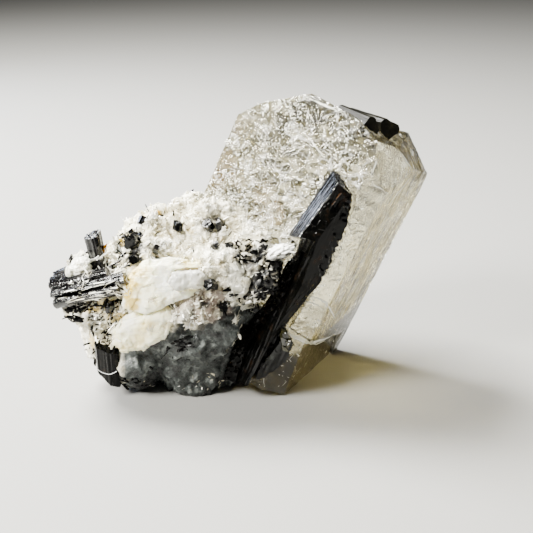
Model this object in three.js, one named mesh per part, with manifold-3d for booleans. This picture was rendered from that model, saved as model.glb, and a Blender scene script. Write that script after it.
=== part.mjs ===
// White topaz with black tourmaline on feldspar: one natural hand specimen.
// Millimetres, +Z up. It stands on z = 0 as it was photographed, seen along +Y.
// The topaz is laid out in its own crystal axes: c runs up its length, and the
// section across it is seen from above, first axis to the right, second to the back.

import * as THREE from "three";
import { ConvexGeometry } from "three/addons/geometries/ConvexGeometry.js";
import { mergeVertices } from "three/addons/utils/BufferGeometryUtils.js";
import { SimplexNoise } from "three/addons/math/SimplexNoise.js";
import Module from "manifold-3d";

const wasm = await Module();
wasm.setup();

// Driving dimensions of the topaz
const C_AXIS_LEAN = 23.5; // degrees from upright, towards the right
const PRISM_HALF_ANGLE = 43.3; // degrees, each prism face turned from the narrow front bevel
const FRONT_BEVEL_AZIMUTH = -72.3; // degrees, where the narrow bevel faces
const LEFT_EDGE = [-18.4, 4.0, 0]; // a point on the left prism edge
const FRONT_EDGE = [-1.05, -4.3, 0]; // where the broad left face meets the bevel
const BEVEL_EDGE = [2.1, -3.0, 0]; // where the bevel meets the right face
const RIGHT_EDGE = [9.85, 11.0, 0]; // a point on the right rear edge
const BASE_HEIGHT = 1.15; // the broken base, measured along c
const LEDGE_HEIGHT = 9.9; // the ledge low on the front, measured along c
const LEDGE_DEPTH = 0.9; // how far the foot stands back under the ledge

// Driving dimensions of the rest
const CLEARANCE = 0.3; // between two crystals that touch
const MAIN_TOURMALINE_RADIUS = 2.55;
const TOP_TOURMALINE_RADIUS = 1.3;
const BUNDLE_ROD_RADIUS = 0.62;
const STONE_ROUGHNESS = 0.16; // share of its radius by which a feldspar lump is uneven
const CLEAVAGE_FLATS = 12; // flat cleavage faces that square off each lump

const RADIANS = Math.PI / 180;

// Every lump gets its own repeatable run of numbers between 0 and 1.
function seeded(seed) {
  let state = seed * 7919 + 17;
  return () => {
    state = (state * 16807) % 2147483647;
    return state / 2147483647;
  };
}

// Solids

function solidOf(geometry) {
  const bare = geometry.index ? geometry.toNonIndexed() : geometry.clone();
  bare.deleteAttribute("normal");
  bare.deleteAttribute("uv");
  const merged = mergeVertices(bare, 1e-5);
  return new wasm.Manifold(
    new wasm.Mesh({
      numProp: 3,
      vertProperties: new Float32Array(merged.attributes.position.array),
      triVerts: new Uint32Array(merged.index.array),
    }),
  );
}

function geometryOf(solid) {
  const { numProp, vertProperties, triVerts } = solid.getMesh();
  const positions = new Float32Array((vertProperties.length / numProp) * 3);
  for (let i = 0; i < positions.length / 3; i++)
    positions.set(vertProperties.subarray(i * numProp, i * numProp + 3), i * 3);
  const geometry = new THREE.BufferGeometry();
  geometry.setAttribute("position", new THREE.BufferAttribute(positions, 3));
  geometry.setIndex(new THREE.BufferAttribute(new Uint32Array(triVerts), 1));
  const shaded = geometry.toNonIndexed();
  shaded.computeVertexNormals();
  return shaded;
}

function union(solids) {
  return solids.reduce((whole, solid) => whole.add(solid));
}

// Chips that a cut leaves loose are dropped, and the largest body is kept.
function largestBody(solid) {
  return solid
    .decompose()
    .reduce((best, body) => (body.volume() > best.volume() ? body : best));
}

function hull(points) {
  return new ConvexGeometry(points);
}

// The hull of a shape, grown by the clearance on every side: what it cuts out of its neighbours.
function grownHull(geometry, growth = CLEARANCE) {
  const position = geometry.getAttribute("position");
  const points = [];
  for (let i = 0; i < position.count; i++)
    for (const x of [-growth, growth])
      for (const y of [-growth, growth])
        for (const z of [-growth, growth])
          points.push(
            new THREE.Vector3(
              position.getX(i) + x,
              position.getY(i) + y,
              position.getZ(i) + z,
            ),
          );
  return hull(points);
}

function toVectors(points) {
  return points.map(([x, y, z]) => new THREE.Vector3(x, y, z));
}

// Crystal faces: a face is a plane, and a crystal is what lies behind all of its planes

function face(azimuth, tilt, through) {
  const normal = new THREE.Vector3(
    Math.cos(azimuth * RADIANS) * Math.sin(tilt * RADIANS),
    Math.sin(azimuth * RADIANS) * Math.sin(tilt * RADIANS),
    Math.cos(tilt * RADIANS),
  );
  return { normal, distance: normal.dot(new THREE.Vector3(...through)) };
}

function crystal(faces) {
  const corners = [];
  const inside = (p) =>
    faces.every(({ normal, distance }) => normal.dot(p) <= distance + 1e-7);
  for (let i = 0; i < faces.length; i++)
    for (let j = i + 1; j < faces.length; j++)
      for (let k = j + 1; k < faces.length; k++) {
        const [a, b, c] = [faces[i], faces[j], faces[k]];
        const bc = b.normal.clone().cross(c.normal);
        const volume = a.normal.dot(bc);
        if (Math.abs(volume) < 1e-6) continue;
        const corner = bc.multiplyScalar(a.distance);
        corner.addScaledVector(c.normal.clone().cross(a.normal), b.distance);
        corner.addScaledVector(a.normal.clone().cross(b.normal), c.distance);
        corner.divideScalar(volume);
        if (inside(corner)) corners.push(corner);
      }
  return hull(corners);
}

// Topaz, in crystal axes

const LEFT_FACE_AZIMUTH = FRONT_BEVEL_AZIMUTH - PRISM_HALF_ANGLE;
const RIGHT_FACE_AZIMUTH = FRONT_BEVEL_AZIMUTH + PRISM_HALF_ANGLE;

const crystalToWorld = new THREE.Matrix4().makeRotationY(C_AXIS_LEAN * RADIANS);
const worldDown = new THREE.Vector3(0, 0, -1);
const downInCrystal = worldDown
  .clone()
  .applyMatrix4(crystalToWorld.clone().invert());
const ground = { normal: downInCrystal, distance: 0 };

const prismFaces = [
  face(LEFT_FACE_AZIMUTH, 90, FRONT_EDGE),
  face(FRONT_BEVEL_AZIMUTH, 90, BEVEL_EDGE),
  face(RIGHT_FACE_AZIMUTH, 90, BEVEL_EDGE),
  face(LEFT_FACE_AZIMUTH + 180, 90, RIGHT_EDGE),
  face(RIGHT_FACE_AZIMUTH + 180, 90, LEFT_EDGE),
];

const windowFace = face(-41.5, 68.7, [-0.98, -4.33, 35.6]);
const rightShoulderFace = face(-21, 43.3, [5.47, 3.09, 35.66]);
const frontRoofFace = face(-30, 19.5, [-0.98, -4.33, 38.0]);
const leftRoofFaces = [
  face(RIGHT_FACE_AZIMUTH + 180, 51.3, [-18.6, 4.1, 32.74]),
  face(RIGHT_FACE_AZIMUTH + 180, 35.8, [-12.04, 0.96, 39.17]),
];

function topazBody() {
  const ledge = face(174, 159.5, [2.0, -3.1, LEDGE_HEIGHT]);
  return crystal([
    ...prismFaces,
    windowFace,
    rightShoulderFace,
    frontRoofFace,
    ...leftRoofFaces,
    face(LEFT_FACE_AZIMUTH + 180, 21, [-7.07, -1.42, 39.86]),
    ledge,
  ]);
}

// The rear half of the roof stands a step higher, as a second growth block.
function topazRearRoof() {
  return crystal([
    ...prismFaces,
    windowFace,
    rightShoulderFace,
    frontRoofFace,
    ...leftRoofFaces,
    face(132, 17.6, [2.1, 5.25, 39.35]),
    face(70, 57, [6.61, 9.78, 36.92]),
    face(0, 180, [0, 0, 24]),
  ]);
}

// Below the ledge the foot stands back from the prism faces and flares out again at the ground.
function topazFoot() {
  const flare = 90 - Math.atan(LEDGE_DEPTH / LEDGE_HEIGHT) / RADIANS;
  return crystal([
    face(LEFT_FACE_AZIMUTH, flare, [-1.05, -4.3, BASE_HEIGHT]),
    face(FRONT_BEVEL_AZIMUTH, flare, [2.1, -3.0, BASE_HEIGHT]),
    face(RIGHT_FACE_AZIMUTH, flare, [2.6, -2.1, BASE_HEIGHT]),
    face(20, 88, [8.6, 9.0, 5]),
    face(LEFT_FACE_AZIMUTH + 180, 90, RIGHT_EDGE),
    face(RIGHT_FACE_AZIMUTH + 180, 90, LEFT_EDGE),
    face(0, 0, [0, 0, 2.2 * LEDGE_HEIGHT]),
    face(0, 180, [0, 0, BASE_HEIGHT]),
    ground,
  ]);
}

// A splinter of the right edge reaches down past the ledge to the ground.
function topazEdgeSplinter() {
  return crystal([
    ...prismFaces,
    face(195, 90, [8.9, 9.4, 4]),
    face(0, 0, [0, 0, 16]),
    face(0, 180, [0, 0, 0]),
    ground,
  ]);
}

const topazParts = [
  topazBody(),
  topazRearRoof(),
  topazFoot(),
  topazEdgeSplinter(),
].map((part) => part.applyMatrix4(crystalToWorld));

// Tourmaline: prisms with a rounded three sided section and ribs along their length

// The spine runs from foot to tip, each point with the radius there. The section turns from the side
// that faces the viewer; ridge is the angle of one of its three edges.
function ribbedPrism({
  spine,
  sides = 22,
  ridge = 0,
  threeSided = 0.1,
  groove = 0.05,
  footCut = null,
  tipCut = null,
}) {
  const stations = spine.map(([x, y, z, radius]) => ({
    centre: new THREE.Vector3(x, y, z),
    radius,
  }));
  const last = stations.length - 1;
  const axis = stations[last].centre
    .clone()
    .sub(stations[0].centre)
    .normalize();
  const front = new THREE.Vector3(0, -1, 0).projectOnPlane(axis).normalize();
  const across = axis.clone().cross(front);
  const cutAt = stations.map(() => axis);
  if (footCut) cutAt[0] = new THREE.Vector3(...footCut);
  if (tipCut) cutAt[last] = new THREE.Vector3(...tipCut);
  const positions = [];
  stations.forEach(({ centre, radius }, station) => {
    const cut = cutAt[station];
    for (let i = 0; i < sides; i++) {
      const turn = (i / sides) * 2 * Math.PI;
      const rib = i % 2 ? 1 - groove : 1;
      const shape = 1 + threeSided * Math.cos(3 * (turn - ridge * RADIANS));
      const offset = front
        .clone()
        .multiplyScalar(Math.cos(turn))
        .addScaledVector(across, Math.sin(turn))
        .multiplyScalar(radius * rib * shape);
      const slide = -offset.dot(cut) / axis.dot(cut);
      const point = centre.clone().add(offset).addScaledVector(axis, slide);
      positions.push(...point.toArray());
    }
  });
  positions.push(...stations[0].centre.toArray());
  positions.push(...stations[last].centre.toArray());
  const footCentre = stations.length * sides;
  const tipCentre = footCentre + 1;
  const triangles = [];
  for (let i = 0; i < sides; i++) {
    const next = (i + 1) % sides;
    for (let k = 0; k < last; k++) {
      const [low, high] = [k * sides, (k + 1) * sides];
      triangles.push(low + i, low + next, high + next);
      triangles.push(low + i, high + next, high + i);
    }
    triangles.push(footCentre, next, i);
    triangles.push(tipCentre, last * sides + i, last * sides + next);
  }
  const geometry = new THREE.BufferGeometry();
  geometry.setAttribute(
    "position",
    new THREE.Float32BufferAttribute(positions, 3),
  );
  geometry.setIndex(triangles);
  return geometry;
}

// The main prism swells where a second one has grown along it, and narrows to its foot.
function mainTourmaline() {
  const r = MAIN_TOURMALINE_RADIUS;
  return [
    ribbedPrism({
      spine: [
        [-5.0, -4.3, 2.6, 0.68 * r],
        [-0.7, -4.6, 10.4, 0.66 * r],
        [4.7, -4.8, 18.6, 0.8 * r],
        [6.5, -4.8, 22.6, 1.02 * r],
        [9.1, -4.5, 30.4, 0.8 * r],
      ],
      sides: 30,
      ridge: -28,
      threeSided: 0.13,
      footCut: [0.1, 0.4, 1],
      tipCut: [0.75, -0.25, 0.8],
    }),
    ribbedPrism({
      spine: [
        [7.4, -4.5, 23.2, 0.72 * r],
        [9.6, -4.7, 29.2, 0.66 * r],
      ],
      sides: 14,
      ridge: 40,
      footCut: [-0.5, 0, 1],
      tipCut: [0.9, -0.4, 0.6],
    }),
    ribbedPrism({
      spine: [
        [-5.6, -4.1, 4.2, 0.5 * r],
        [3.0, -4.9, 19.4, 0.62 * r],
      ],
      sides: 14,
      ridge: -50,
      footCut: [0.4, 0, 1],
      tipCut: [-0.8, -0.5, 0.9],
    }),
  ];
}

function tourmalineSplinter() {
  return [
    hull(
      toVectors([
        [-1.3, -4.9, 3.4],
        [-0.4, -5.4, 8.6],
        [1.6, -5.2, 11.2],
        [2.4, -5.3, 10.6],
        [3.0, -5.1, 7.6],
        [2.5, -5.2, 6.4],
        [0.6, -3.6, 5.0],
        [1.6, -3.5, 9.6],
        [2.7, -3.8, 7.4],
      ]),
    ),
    hull(
      toVectors([
        [1.9, -5.0, 11.3],
        [2.6, -5.1, 11.0],
        [3.5, -4.9, 9.0],
        [3.1, -4.6, 7.7],
        [2.3, -5.2, 8.2],
        [2.2, -3.8, 10.8],
        [3.2, -3.8, 8.8],
        [2.7, -3.8, 7.8],
      ]),
    ),
  ];
}

function topTourmaline(foot, tip, radius, ridge) {
  return [
    ribbedPrism({
      spine: [
        [...foot, radius],
        [...tip, radius],
      ],
      sides: 18,
      ridge,
      threeSided: 0.2,
      groove: 0.04,
      tipCut: [0.35, -0.9, 0.1],
    }),
  ];
}

// Five parallel rods and two short ones behind them, grown together.
function leftBundle() {
  const rods = [
    { foot: [-28.0, -3.2, 15.4], tip: [-17.9, -6.0, 18.9], size: 1.15 },
    { foot: [-28.4, -2.4, 16.2], tip: [-20.4, -4.6, 19.2], size: 0.95 },
    { foot: [-27.6, -3.9, 14.3], tip: [-18.8, -6.3, 17.5], size: 1.0 },
    { foot: [-26.4, -4.2, 13.3], tip: [-20.6, -5.8, 15.5], size: 0.9 },
    { foot: [-27.9, -2.2, 14.4], tip: [-19.6, -4.2, 17.2], size: 1.3 },
    { foot: [-27.9, -1.0, 17.2], tip: [-26.2, -1.7, 18.2], size: 0.95 },
    { foot: [-28.3, -1.6, 16.4], tip: [-26.0, -2.3, 17.4], size: 1.2 },
  ];
  return rods.map(({ foot, tip, size }, i) =>
    ribbedPrism({
      spine: [
        [...foot, BUNDLE_ROD_RADIUS * size],
        [...tip, BUNDLE_ROD_RADIUS * size],
      ],
      sides: 10,
      ridge: 40 * i,
      groove: 0.1,
    }),
  );
}

function leftPrism() {
  return [
    ribbedPrism({
      spine: [
        [-21.8, -1.2, 17.6, 1.05],
        [-22.8, -0.3, 22.6, 1.05],
      ],
      sides: 12,
      ridge: 20,
      threeSided: 0.15,
      tipCut: [-0.35, -0.2, 1],
    }),
  ];
}

function leftBlock() {
  return [
    ribbedPrism({
      spine: [
        [-21.4, -2.4, 1.9, 1.55],
        [-21.2, -3.9, 8.4, 1.55],
      ],
      sides: 14,
      ridge: 50,
      threeSided: 0.16,
      groove: 0.07,
      tipCut: [0.4, -0.5, 1],
      footCut: [0.3, 0.2, 1],
    }),
  ];
}

// Feldspar blades and quartz: the outline of the visible face, carried back into the rock

function blade(outline, back, shrink = 0.8) {
  const front = toVectors(outline);
  const centre = front
    .reduce((sum, p) => sum.add(p), new THREE.Vector3())
    .divideScalar(front.length);
  const shift = new THREE.Vector3(...back);
  const rear = front.map((p) =>
    p.clone().sub(centre).multiplyScalar(shrink).add(centre).add(shift),
  );
  const swell = front.map((p) =>
    p
      .clone()
      .sub(centre)
      .multiplyScalar(0.72)
      .add(centre)
      .addScaledVector(shift, -0.16),
  );
  return [hull([...front, ...rear, ...swell])];
}

const upperBladeOutline = [
  [-17.7, -6.0, 19.0],
  [-15.6, -5.2, 20.8],
  [-12.4, -4.8, 21.2],
  [-8.3, -5.0, 20.6],
  [-8.0, -6.3, 18.2],
  [-9.7, -6.9, 16.7],
  [-12.3, -7.4, 15.8],
  [-15.4, -7.4, 14.6],
  [-18.3, -6.9, 15.0],
  [-18.1, -6.5, 17.2],
];

const lowerBladeOutline = [
  [-20.0, -6.4, 9.8],
  [-19.7, -6.5, 11.8],
  [-18.6, -6.6, 13.1],
  [-15.2, -7.0, 14.3],
  [-12.4, -7.0, 14.9],
  [-11.8, -7.0, 13.5],
  [-13.1, -7.0, 11.0],
  [-16.1, -6.5, 8.9],
  [-18.9, -6.2, 8.4],
];

const smallBladeOutline = [
  [-12.4, -7.3, 18.9],
  [-11.7, -6.7, 19.9],
  [-8.4, -6.4, 20.0],
  [-7.6, -6.7, 19.2],
  [-8.4, -7.4, 18.0],
  [-11.4, -7.8, 17.9],
];

const lensOutline = [
  [-4.9, -5.7, 20.3],
  [-3.9, -5.4, 20.9],
  [-2.6, -5.6, 19.7],
  [-2.0, -6.0, 18.5],
  [-2.6, -6.6, 17.2],
  [-3.6, -6.7, 17.2],
  [-4.8, -6.3, 18.6],
];

const whiteBladeOutline = [
  [0.2, -5.7, 22.3],
  [1.2, -5.3, 23.0],
  [4.0, -6.6, 24.0],
  [3.8, -7.0, 23.3],
  [2.7, -7.2, 22.5],
  [0.4, -6.4, 21.8],
];

const knobOutline = [
  [-26.0, -2.4, 17.9],
  [-25.4, -2.2, 19.3],
  [-24.2, -2.2, 19.9],
  [-23.1, -2.7, 19.4],
  [-23.0, -3.2, 18.4],
  [-24.6, -3.0, 17.9],
];

// Small black grains, each one blocky crystal half sunk in the white mass
const grains = [
  { at: [-6.6, -3.9, 22.3], size: 0.62 },
  { at: [-4.7, -3.9, 22.5], size: 0.6 },
  { at: [-6.9, -7.0, 18.2], size: 0.85 },
  { at: [-7.5, -1.3, 24.2], size: 0.75 },
  { at: [-6.2, -1.2, 24.4], size: 0.7 },
  { at: [-11.5, -0.3, 23.8], size: 0.8 },
  { at: [-16.4, 1.2, 24.0], size: 0.65 },
  { at: [-14.1, -3.9, 21.9], size: 0.5 },
  { at: [-17.5, -2.0, 22.3], size: 0.95 },
  { at: [-17.0, -4.5, 20.8], size: 0.75 },
  { at: [-5.6, -6.0, 14.7], size: 0.7 },
  { at: [-20.3, -5.0, 14.4], size: 0.75 },
];

function grain({ at, size }, index) {
  const random = seeded(index + 1);
  const points = [];
  for (const height of [-0.9, 0.9])
    for (let i = 0; i < 6; i++) {
      const turn = ((i + 0.35 * random()) / 6) * 2 * Math.PI;
      const reach = size * (0.78 + 0.35 * random());
      const rise = size * height * (0.85 + 0.3 * random());
      points.push(
        new THREE.Vector3(
          reach * Math.cos(turn),
          reach * Math.sin(turn),
          rise,
        ),
      );
    }
  const spin = new THREE.Euler(3 * random(), 3 * random(), 3 * random());
  return [
    hull(
      points.map((p) => p.applyEuler(spin).add(new THREE.Vector3(...at))),
    ),
  ];
}

// Feldspar matrix: blocky lumps grown into one mass

function lump({ at, reach, detail = 3 }, index) {
  const random = seeded(100 + index);
  const noise = new SimplexNoise({ random });
  const flats = [];
  for (let i = 0; i < CLEAVAGE_FLATS; i++) {
    const direction = new THREE.Vector3(
      random() - 0.5,
      random() - 0.5,
      random() - 0.5,
    ).normalize();
    flats.push({ direction, limit: 0.7 + 0.2 * random() });
  }
  const ball = new THREE.IcosahedronGeometry(1, detail);
  const position = ball.getAttribute("position");
  const point = new THREE.Vector3();
  for (let i = 0; i < position.count; i++) {
    point.fromBufferAttribute(position, i).normalize();
    const coarse = noise.noise3d(1.6 * point.x, 1.6 * point.y, 1.6 * point.z);
    const fine = noise.noise3d(4.5 * point.x, 4.5 * point.y, 4.5 * point.z);
    point.multiplyScalar(1 + STONE_ROUGHNESS * (coarse + 0.55 * fine));
    for (const { direction, limit } of flats) {
      const over = point.dot(direction) - limit;
      if (over > 0) point.addScaledVector(direction, -0.95 * over);
    }
    position.setXYZ(
      i,
      at[0] + reach[0] * point.x,
      at[1] + reach[1] * point.y,
      at[2] + reach[2] * point.z,
    );
  }
  return ball;
}

const lumps = [
  { at: [-12.5, 3.5, 10.0], reach: [11, 9.5, 11.5], detail: 5 },
  { at: [-9.0, 3.2, 20.4], reach: [6.0, 5.0, 6.6] },
  { at: [-15.2, 2.4, 19.2], reach: [5.4, 5.0, 5.9] },
  { at: [-21.6, 0.2, 14.4], reach: [7.2, 5.4, 4.9], detail: 4 },
  { at: [-20.4, 1.5, 8.0], reach: [5.0, 6.0, 7.0] },
  { at: [-11.0, 0.8, 6.0], reach: [8.8, 6.0, 7.6], detail: 4 },
  { at: [-17.6, -0.2, 5.6], reach: [5.6, 4.8, 6.0] },
  { at: [-13.4, -1.4, 16.2], reach: [7.6, 5.0, 6.0], detail: 4 },
  { at: [-5.2, -2.2, 18.0], reach: [6.0, 4.4, 5.8], detail: 4 },
  { at: [-6.6, -1.8, 10.6], reach: [5.6, 4.7, 6.6] },
  { at: [-0.6, -3.6, 18.4], reach: [3.6, 3.0, 4.8] },
  { at: [-17.2, -1.4, 12.0], reach: [5.2, 4.6, 5.8] },
  { at: [-14.0, 12.0, 8.0], reach: [7.6, 6.0, 8.6] },
  { at: [-8.6, 14.6, 4.6], reach: [7.4, 5.4, 6.4] },
  { at: [-20.0, 7.4, 13.0], reach: [5.4, 5.2, 5.2] },
  { at: [-9.5, -5.2, 14.4], reach: [4.4, 2.4, 2.4] },
  { at: [-6.6, 1.0, 22.0], reach: [5.2, 2.7, 5.0] },
  { at: [-2.6, -1.4, 20.4], reach: [4.6, 2.5, 3.6] },
];

// Assembly: a piece earlier in this list keeps its shape, and later ones make room for it

const looks = {
  topaz: { color: 0xe9e3d2, roughness: 0.15 },
  tourmaline: { color: 0x14130f, roughness: 0.3 },
  cream: { color: 0xe8dfc6, roughness: 0.6 },
  quartz: { color: 0xe2e0da, roughness: 0.35 },
  matrix: { color: 0xdedad0, roughness: 0.8 },
};

const pieces = [
  { name: "main_tourmaline", look: "tourmaline", parts: mainTourmaline() },
  {
    name: "tourmaline_splinter",
    look: "tourmaline",
    parts: tourmalineSplinter(),
  },
  {
    name: "top_tourmaline_left",
    look: "tourmaline",
    parts: topTourmaline(
      [9.5, 4.4, 37.5],
      [12.9, -1.4, 37.2],
      TOP_TOURMALINE_RADIUS * 0.85,
      20,
    ),
  },
  {
    name: "top_tourmaline_right",
    look: "tourmaline",
    parts: topTourmaline(
      [11.4, 7.0, 36.5],
      [15.5, 1.0, 36.3],
      TOP_TOURMALINE_RADIUS,
      65,
    ),
  },
  { name: "left_tourmaline_bundle", look: "tourmaline", parts: leftBundle() },
  { name: "left_tourmaline_prism", look: "tourmaline", parts: leftPrism() },
  { name: "left_tourmaline_block", look: "tourmaline", parts: leftBlock() },
  ...grains.map((one, i) => ({
    name: `tourmaline_grain_${String(i + 1).padStart(2, "0")}`,
    look: "tourmaline",
    parts: grain(one, i),
  })),
  {
    name: "cream_feldspar_small",
    look: "cream",
    parts: blade(smallBladeOutline, [0.2, 1.6, -0.4]),
  },
  {
    name: "cream_feldspar_upper",
    look: "cream",
    parts: blade(upperBladeOutline, [0.6, 3.6, -0.8]),
  },
  {
    name: "cream_feldspar_lower",
    look: "cream",
    parts: blade(lowerBladeOutline, [0.4, 3.4, 0.2]),
  },
  {
    name: "quartz_lens",
    look: "quartz",
    parts: blade(lensOutline, [0.2, 2.2, -0.4]),
  },
  {
    name: "white_blade",
    look: "cream",
    parts: blade(whiteBladeOutline, [-0.4, 3.2, -1.6], 0.8),
  },
  {
    name: "quartz_knob",
    look: "quartz",
    parts: blade(knobOutline, [0.2, 2.2, -0.2]),
  },
  { name: "topaz_crystal", look: "topaz", parts: topazParts },
  { name: "feldspar_matrix", look: "matrix", parts: lumps.map(lump) },
];

function floorBlock() {
  const block = new THREE.BoxGeometry(120, 120, 40);
  return solidOf(block.translate(0, 0, -20));
}

function assemble() {
  const specimen = new THREE.Group();
  const floor = floorBlock();
  const cutters = [];
  for (const { name, look, parts } of pieces) {
    const room = new THREE.Box3();
    parts.forEach((part) => {
      part.computeBoundingBox();
      room.union(part.boundingBox);
    });
    let solid = union(parts.map(solidOf)).subtract(floor);
    for (const cutter of cutters)
      if (cutter.box.intersectsBox(room)) solid = solid.subtract(cutter.solid);
    const mesh = new THREE.Mesh(
      geometryOf(largestBody(solid)),
      new THREE.MeshStandardMaterial({ ...looks[look], metalness: 0 }),
    );
    mesh.name = name;
    specimen.add(mesh);
    cutters.push({
      box: room.clone().expandByScalar(CLEARANCE),
      solid: union(parts.map((part) => solidOf(grownHull(part)))),
    });
  }
  return specimen;
}

// The origin is under the middle of the specimen, at the height it stands on.
function centred(specimen) {
  const middle = new THREE.Box3()
    .setFromObject(specimen)
    .getCenter(new THREE.Vector3());
  specimen.position.set(-middle.x, -middle.y, 0);
  return specimen;
}

export default centred(assemble());
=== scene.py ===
import math
from itertools import product

import bpy
import numpy as np
from mathutils import Matrix, Vector
from mathutils.bvhtree import BVHTree


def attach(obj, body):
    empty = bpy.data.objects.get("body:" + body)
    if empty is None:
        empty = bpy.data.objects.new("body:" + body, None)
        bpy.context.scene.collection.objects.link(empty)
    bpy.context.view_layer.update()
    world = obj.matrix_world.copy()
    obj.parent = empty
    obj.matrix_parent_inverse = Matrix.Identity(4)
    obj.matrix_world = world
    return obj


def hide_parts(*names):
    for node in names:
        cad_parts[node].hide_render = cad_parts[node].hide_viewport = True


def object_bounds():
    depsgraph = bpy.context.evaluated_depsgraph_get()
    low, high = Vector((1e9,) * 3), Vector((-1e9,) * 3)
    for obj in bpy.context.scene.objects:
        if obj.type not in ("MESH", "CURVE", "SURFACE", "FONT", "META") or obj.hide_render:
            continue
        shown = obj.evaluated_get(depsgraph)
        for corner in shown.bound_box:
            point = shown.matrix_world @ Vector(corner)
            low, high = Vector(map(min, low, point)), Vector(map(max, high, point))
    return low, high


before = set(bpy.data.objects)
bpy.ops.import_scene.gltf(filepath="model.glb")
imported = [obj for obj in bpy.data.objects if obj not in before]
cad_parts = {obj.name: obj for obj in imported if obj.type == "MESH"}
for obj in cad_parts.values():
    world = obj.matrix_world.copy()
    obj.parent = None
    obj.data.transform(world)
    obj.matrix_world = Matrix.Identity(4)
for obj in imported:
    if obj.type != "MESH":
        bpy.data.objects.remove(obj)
solid_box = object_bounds()

# Lengths here are millimetres in the frame of the solids, and turn to metres where a mesh is made.
MM = 0.001
LAYOUT_TO_FRAME = np.array([3.082, -6.104, 0.0])

# The photograph: 533 pixels square, seen from 22 degrees above the table.
PHOTO_PIXELS = 533
FOCAL_PIXELS = 900.0
CAMERA_AT = np.array([0.0, -111.26, 62.95]) + LAYOUT_TO_FRAME
CAMERA_TARGET = np.array([0.0, 0.0, 18.0]) + LAYOUT_TO_FRAME

# Directions in which the crystals grew. The topaz leans to the right.
TOPAZ_LEAN = math.radians(23.5)
TOPAZ_C_AXIS = np.array([math.sin(TOPAZ_LEAN), 0.0, math.cos(TOPAZ_LEAN)])
MAIN_PRISM_AXIS = np.array([0.42, -0.01, 0.91])

# Small crystals are spun up to about a full turn, in radians.
FULL_TURN = 6.3


# Repeatable unevenness


def hashed(cells, seed):
    """A repeatable number from 0 to 1 for each whole-number place."""
    # Large odd numbers stir the place into one without a pattern.
    c = np.asarray(cells).astype(np.int64)
    h = c[..., 0] * 374761393 + c[..., 1] * 668265263 + c[..., 2] * 1274126177
    h = h + seed * 144665533
    h = (h ^ (h >> 13)) * 1103515245
    h = (h ^ (h >> 15)) * 668265263
    return ((h ^ (h >> 17)) & 0xFFFFFF) / float(0xFFFFFF)


def swell(points, size, seed):
    """Soft bumps about size apart, from -1 to 1."""
    p = points / size
    base = np.floor(p)
    part = p - base
    part = part * part * (3 - 2 * part)
    total = np.zeros(len(points))
    for corner in product((0, 1), repeat=3):
        weight = np.prod(np.where(corner, part, 1 - part), axis=-1)
        total += weight * hashed(base + corner, seed)
    return 2 * total - 1


def grains_at(points, size, seed):
    """The grain that each point lies in: its own number, its middle, and the way in from its border."""
    p = points / size
    base = np.floor(p)
    # In cells, 9 is farther than any middle can be.
    nearest, second = np.full(len(p), 9.0), np.full(len(p), 9.0)
    middle = np.zeros_like(p)
    key = np.zeros_like(p)
    for offset in product((-1, 0, 1), repeat=3):
        cell = base + offset
        centre = cell + np.stack([hashed(cell, seed + k) for k in range(3)], -1)
        gap = np.linalg.norm(p - centre, axis=-1)
        closer = gap < nearest
        second = np.where(closer, nearest, np.minimum(second, gap))
        nearest = np.where(closer, gap, nearest)
        middle[closer] = centre[closer]
        key[closer] = cell[closer]
    return key, middle * size, (second - nearest) * size


def cleaved(points, size, seed, slope, step):
    """Heights of a surface broken into small flat cleavage faces, each with its own tilt."""
    key, middle, _ = grains_at(points, size, seed)
    tilt = np.stack([hashed(key, seed + 20 + k) - 0.5 for k in range(3)], -1)
    rise = np.sum(tilt * (points - middle), -1) * 2 * slope
    return rise + (hashed(key, seed + 30) - 0.5) * step


def along(points, axis, stretch):
    """The points squeezed along an axis, so that a pattern on them is drawn out that way."""
    length = points @ axis
    return points - np.outer(length, axis) * (1 - 1 / stretch)


# Meshes


def shell_of(node):
    """Corners in mm and faces of a solid."""
    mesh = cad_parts[node].data
    corners = np.zeros(len(mesh.vertices) * 3, np.float32)
    mesh.vertices.foreach_get("co", corners)
    return corners.reshape(-1, 3) / MM, [tuple(p.vertices) for p in mesh.polygons]


def mesh_from(name, corners, faces):
    """A mesh from corners in mm."""
    mesh = bpy.data.meshes.new(name)
    mesh.from_pydata((np.asarray(corners) * MM).tolist(), [], faces)
    mesh.update()
    return mesh


def fine_skin(node, cell, crisp=False):
    """The solid's surface as an even net of small cells: corners, their normals and the faces."""
    shell = shell_of(node)
    rough = bpy.data.objects.new("rough", mesh_from("rough", *shell))
    bpy.context.scene.collection.objects.link(rough)
    net = rough.modifiers.new("net", "REMESH")
    if crisp:
        # This net keeps the edges between crystal faces sharp. It has a power of two cells, of which
        # the piece may fill at most 0.98.
        size = np.ptp(shell[0], axis=0).max() / cell
        net.mode = "SHARP"
        net.octree_depth = math.ceil(math.log2(size / 0.98))
        net.scale = size / 2**net.octree_depth
        net.use_remove_disconnected = False
    else:
        net.mode = "VOXEL"
        net.voxel_size = cell * MM
    evaluated = rough.evaluated_get(bpy.context.evaluated_depsgraph_get())
    made = bpy.data.meshes.new_from_object(evaluated)
    corners = np.zeros(len(made.vertices) * 3, np.float32)
    normals = np.zeros(len(made.vertices) * 3, np.float32)
    made.vertices.foreach_get("co", corners)
    made.vertices.foreach_get("normal", normals)
    faces = [tuple(p.vertices) for p in made.polygons]
    bpy.data.objects.remove(rough)
    bpy.data.meshes.remove(made)
    return corners.reshape(-1, 3) / MM, normals.reshape(-1, 3), faces


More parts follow.
